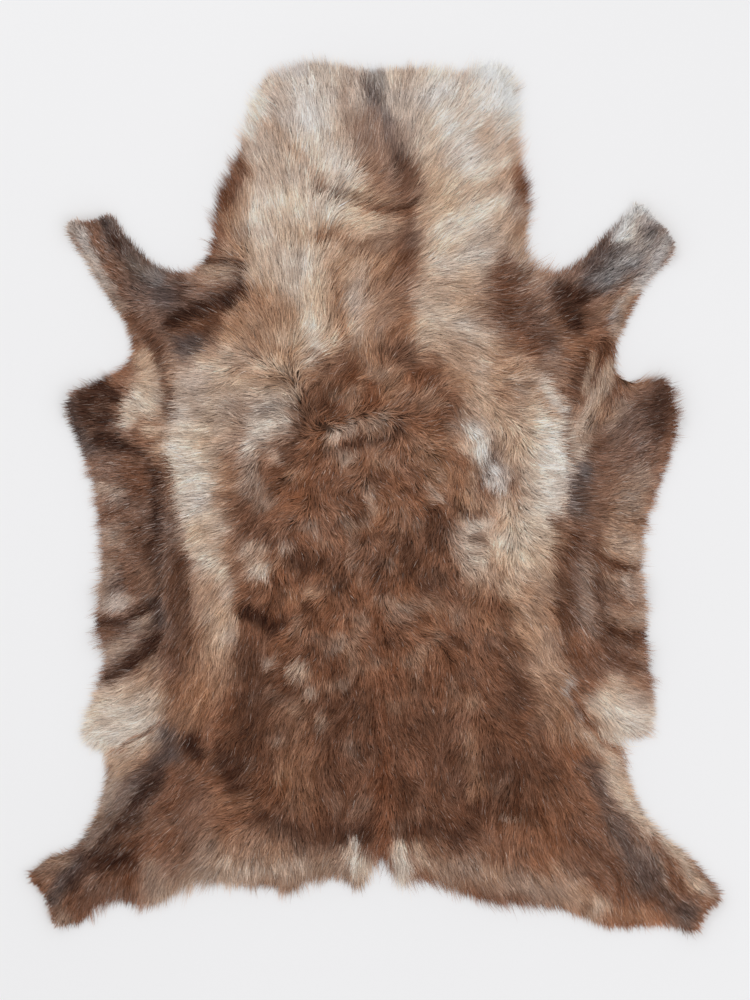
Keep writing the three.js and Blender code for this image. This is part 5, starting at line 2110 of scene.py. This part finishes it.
    def _mesh(self, plan: HidePlan, line: Array, heading: Array, colours: Array,
              material: bpy.types.Material, rng: np.random.Generator) -> bpy.types.Object:
        """Grows a blade along every hair's line, all in one mesh.

        Args:
            plan: The hide's plan.
            line: The middle line of each hair.
            heading: Unit vectors.
            colours: One colour for each hair.
            material: The hair's finish.
            rng: The layer's random numbers.

        Returns:
            The finished piece.
        """
        count, stations = len(line), len(self.stations)
        roll = rng.normal(0.0, self.ROLL, count)
        half = rng.uniform(*self.WIDTHS, count) / 2 * 1.0
        left = np.column_stack((-heading[:, 1] * np.cos(roll), heading[:, 0] * np.cos(roll),
                                np.sin(roll))) * half[:, None]
        spots, hands, along = [0], [0.0], [0.0]
        for spot, share in enumerate(self.stations, start=1):
            taper = 1.0 - self.TAPER * (spot - 1)
            spots += [spot, spot]
            hands += [taper, -taper]
            along += [share, share]
        spots.append(stations + 1)
        hands.append(0.0)
        along.append(1.0)
        corners = [(0, 2, 1)]
        for k in range(stations - 1):
            a = 1 + 2 * k
            corners += [(a, a + 1, a + 3), (a, a + 3, a + 2)]
        last = 2 * stations + 1
        corners.append((last - 2, last - 1, last))
        nodes = BladeNodes(stations + 2)
        flat = np.column_stack((hands, along, np.zeros(len(along))))
        blade = make_piece("blade", flat, np.array(corners), material)
        store(blade, nodes.STATION, "INT", np.array(spots))
        store(blade, nodes.HAND, "FLOAT", np.array(hands))
        store(blade, self.ALONG, "FLOAT", np.array(along))
        line = place(plan, line)
        piece = make_piece(self.name, line[:, 0], np.zeros((0, 3), int), material)
        for spot in range(stations + 2):
            store(piece, f"{nodes.SPOT}{spot}", "FLOAT_VECTOR", line[:, spot] * MM)
        store(piece, nodes.SIDE, "FLOAT_VECTOR", left)
        store_pigment(piece, colours)
        grow(piece, nodes.build(), {"Blade": blade, "Width": self.width * MM, "Finish": material})
        nodes.clear(piece)
        bpy.data.objects.remove(blade)
        self._bake_map(piece, count, along, corners)
        return piece

    def _bake_map(self, piece: bpy.types.Object, count: int, along: list[float],
                  corners: list[tuple[int, int, int]]) -> None:
        """Gives each hair a small square of its own on the UV map OFBake.

        Args:
            piece: The layer's mesh.
            count: How many hairs it has.
            along: Where each point of a hair lies along it.
            corners: The faces of one hair.
        """
        side = int(np.ceil(np.sqrt(count)))
        low, high = self.MAP_MARGIN, 1.0 - self.MAP_MARGIN
        if len(self.stations) == 1:
            square = np.array([(low, low), (low, high), (high, low), (high, high)])
        else:
            across = [0.5, *([low, high] * len(self.stations)), 0.5]
            square = np.column_stack((across, low + (high - low) * np.array(along)))
        cell = np.column_stack((np.arange(count) % side, np.arange(count) // side))
        places = (cell[:, None, :] + square[np.array(corners).ravel()][None]) / side
        layer = piece.data.uv_layers.new(name="OFBake")
        layer.uv.foreach_set("vector", np.ascontiguousarray(places, np.float32).ravel())


# The under_hair and body_hair_lower layers are drawn darker by their shade, as painted shade deep in the
# coat.
LAYERS = (
    Hairs("under_hair", 101, 2.86, 1.5, reach=0.85, sink=14, rise=-3.5, shade=0.84, silver=0.5),
    Hairs("body_hair_lower", 102, 2.86, 1.15, sink=12, rise=-0.5, tuft=9, shade=0.94, stray=10),
    Hairs("body_hair_upper", 103, 2.86, 0.95, rise=1.2, tuft=10, gather=0.45, stray=11),
    Hairs("guard_hair", 104, 4.15, 0.65, reach=1.2, sink=9, rise=2.2, tuft=13, gather=0.5,
          stray=12, stations=(0.3, 0.68), silver=0.9),
    Hairs("edge_fringe", 105, 1.55, 0.42, reach=1.15, sink=6, rise=2.5, tuft=8, gather=0.5,
          stray=15, stations=(0.3, 0.68), band=16.0, shade=1.1, past_edge=8.0, splay=0.9,
          wisps=0.32),
)


# ------------------------------------------------------------------ the studio


@dataclass
class Studio:
    """A plain pale floor, soft light from all round, and a camera straight overhead."""

    floor_half: float = 40.0
    floor_drop: float = 0.0005
    view_height: float = 3.2
    view_centre: tuple[float, float] = (0.0, -0.0014)
    view_length: float = 1.4  # metres of floor along the picture's long side
    sensor: float = 36.0
    world: tuple[float, float, float, float] = (1.0, 0.99, 0.98, 1.0)
    world_strength: float = 0.78
    lamps: tuple[tuple[str, tuple[float, float, float], float, float], ...] = (
        ("key_light", (-1.6, 2.1, 3.2), 2.4, 26.0),
        ("fill_light", (1.9, -1.2, 3.0), 2.6, 18.0),
    )

    def build(self) -> None:
        """Makes the floor, the light and the camera."""
        self._floor()
        self._light()
        self._camera()

    def _floor(self) -> None:
        """Lays the floor, which isn't part of the hide."""
        half = self.floor_half / MM
        points = np.array([(-half, -half, 0), (half, -half, 0), (half, half, 0), (-half, half, 0)])
        points[:, 2] = -self.floor_drop / MM
        triangles = np.array([(0, 1, 2), (0, 2, 3)])
        make_piece("floor", points, triangles, FloorFinish().material())

    def _light(self) -> None:
        """Sets the even light of the room and its soft lamps."""
        scene = bpy.context.scene
        scene.world = bpy.data.worlds.new("studio")
        scene.world.use_nodes = True
        background = scene.world.node_tree.nodes["Background"]
        background.inputs["Color"].default_value = self.world
        background.inputs["Strength"].default_value = self.world_strength
        scene.view_settings.view_transform = "Standard"
        for name, spot, size, power in self.lamps:
            lamp = bpy.data.lights.new(name, "AREA")
            lamp.size, lamp.energy = size, power
            stand = bpy.data.objects.new(name, lamp)
            stand.location = spot
            stand.rotation_euler = Vector(spot).to_track_quat("Z", "Y").to_euler()
            scene.collection.objects.link(stand)

    def _camera(self) -> None:
        """Hangs the camera over the hide, with the neck at the top of the picture."""
        camera = bpy.data.cameras.new("overhead")
        camera.sensor_width = self.sensor
        camera.lens = self.sensor * self.view_height / self.view_length
        stand = bpy.data.objects.new("overhead", camera)
        stand.location = (*self.view_centre, self.view_height)
        bpy.context.scene.collection.objects.link(stand)
        bpy.context.scene.camera = stand


# ------------------------------------------------------------------ putting it together


def add_to_hide(piece: bpy.types.Object) -> None:
    """Attaches a piece to its body, hides the CAD node that it stands for, and logs its faces."""
    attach(piece, BODY)
    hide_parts(NODE)
    log.info("%s: %d faces", piece.name, len(piece.data.polygons))


def main() -> None:
    """Builds the hide piece by piece, then the studio."""
    logging.basicConfig(level=logging.INFO, format="%(name)s: %(message)s")
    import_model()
    plan = HidePlan()
    coat = CoatPattern(HairFlow(plan))
    skin = Skin(plan)
    leather = skin.build()
    add_to_hide(leather)
    hair = HairFinish().material()
    pieces = [Underfur(coat, skin).build(hair)]
    pieces += [layer.build(coat, hair) for layer in LAYERS]
    for piece in pieces:
        add_to_hide(piece)
    Studio().build()


if __name__ == "__main__":
    main()
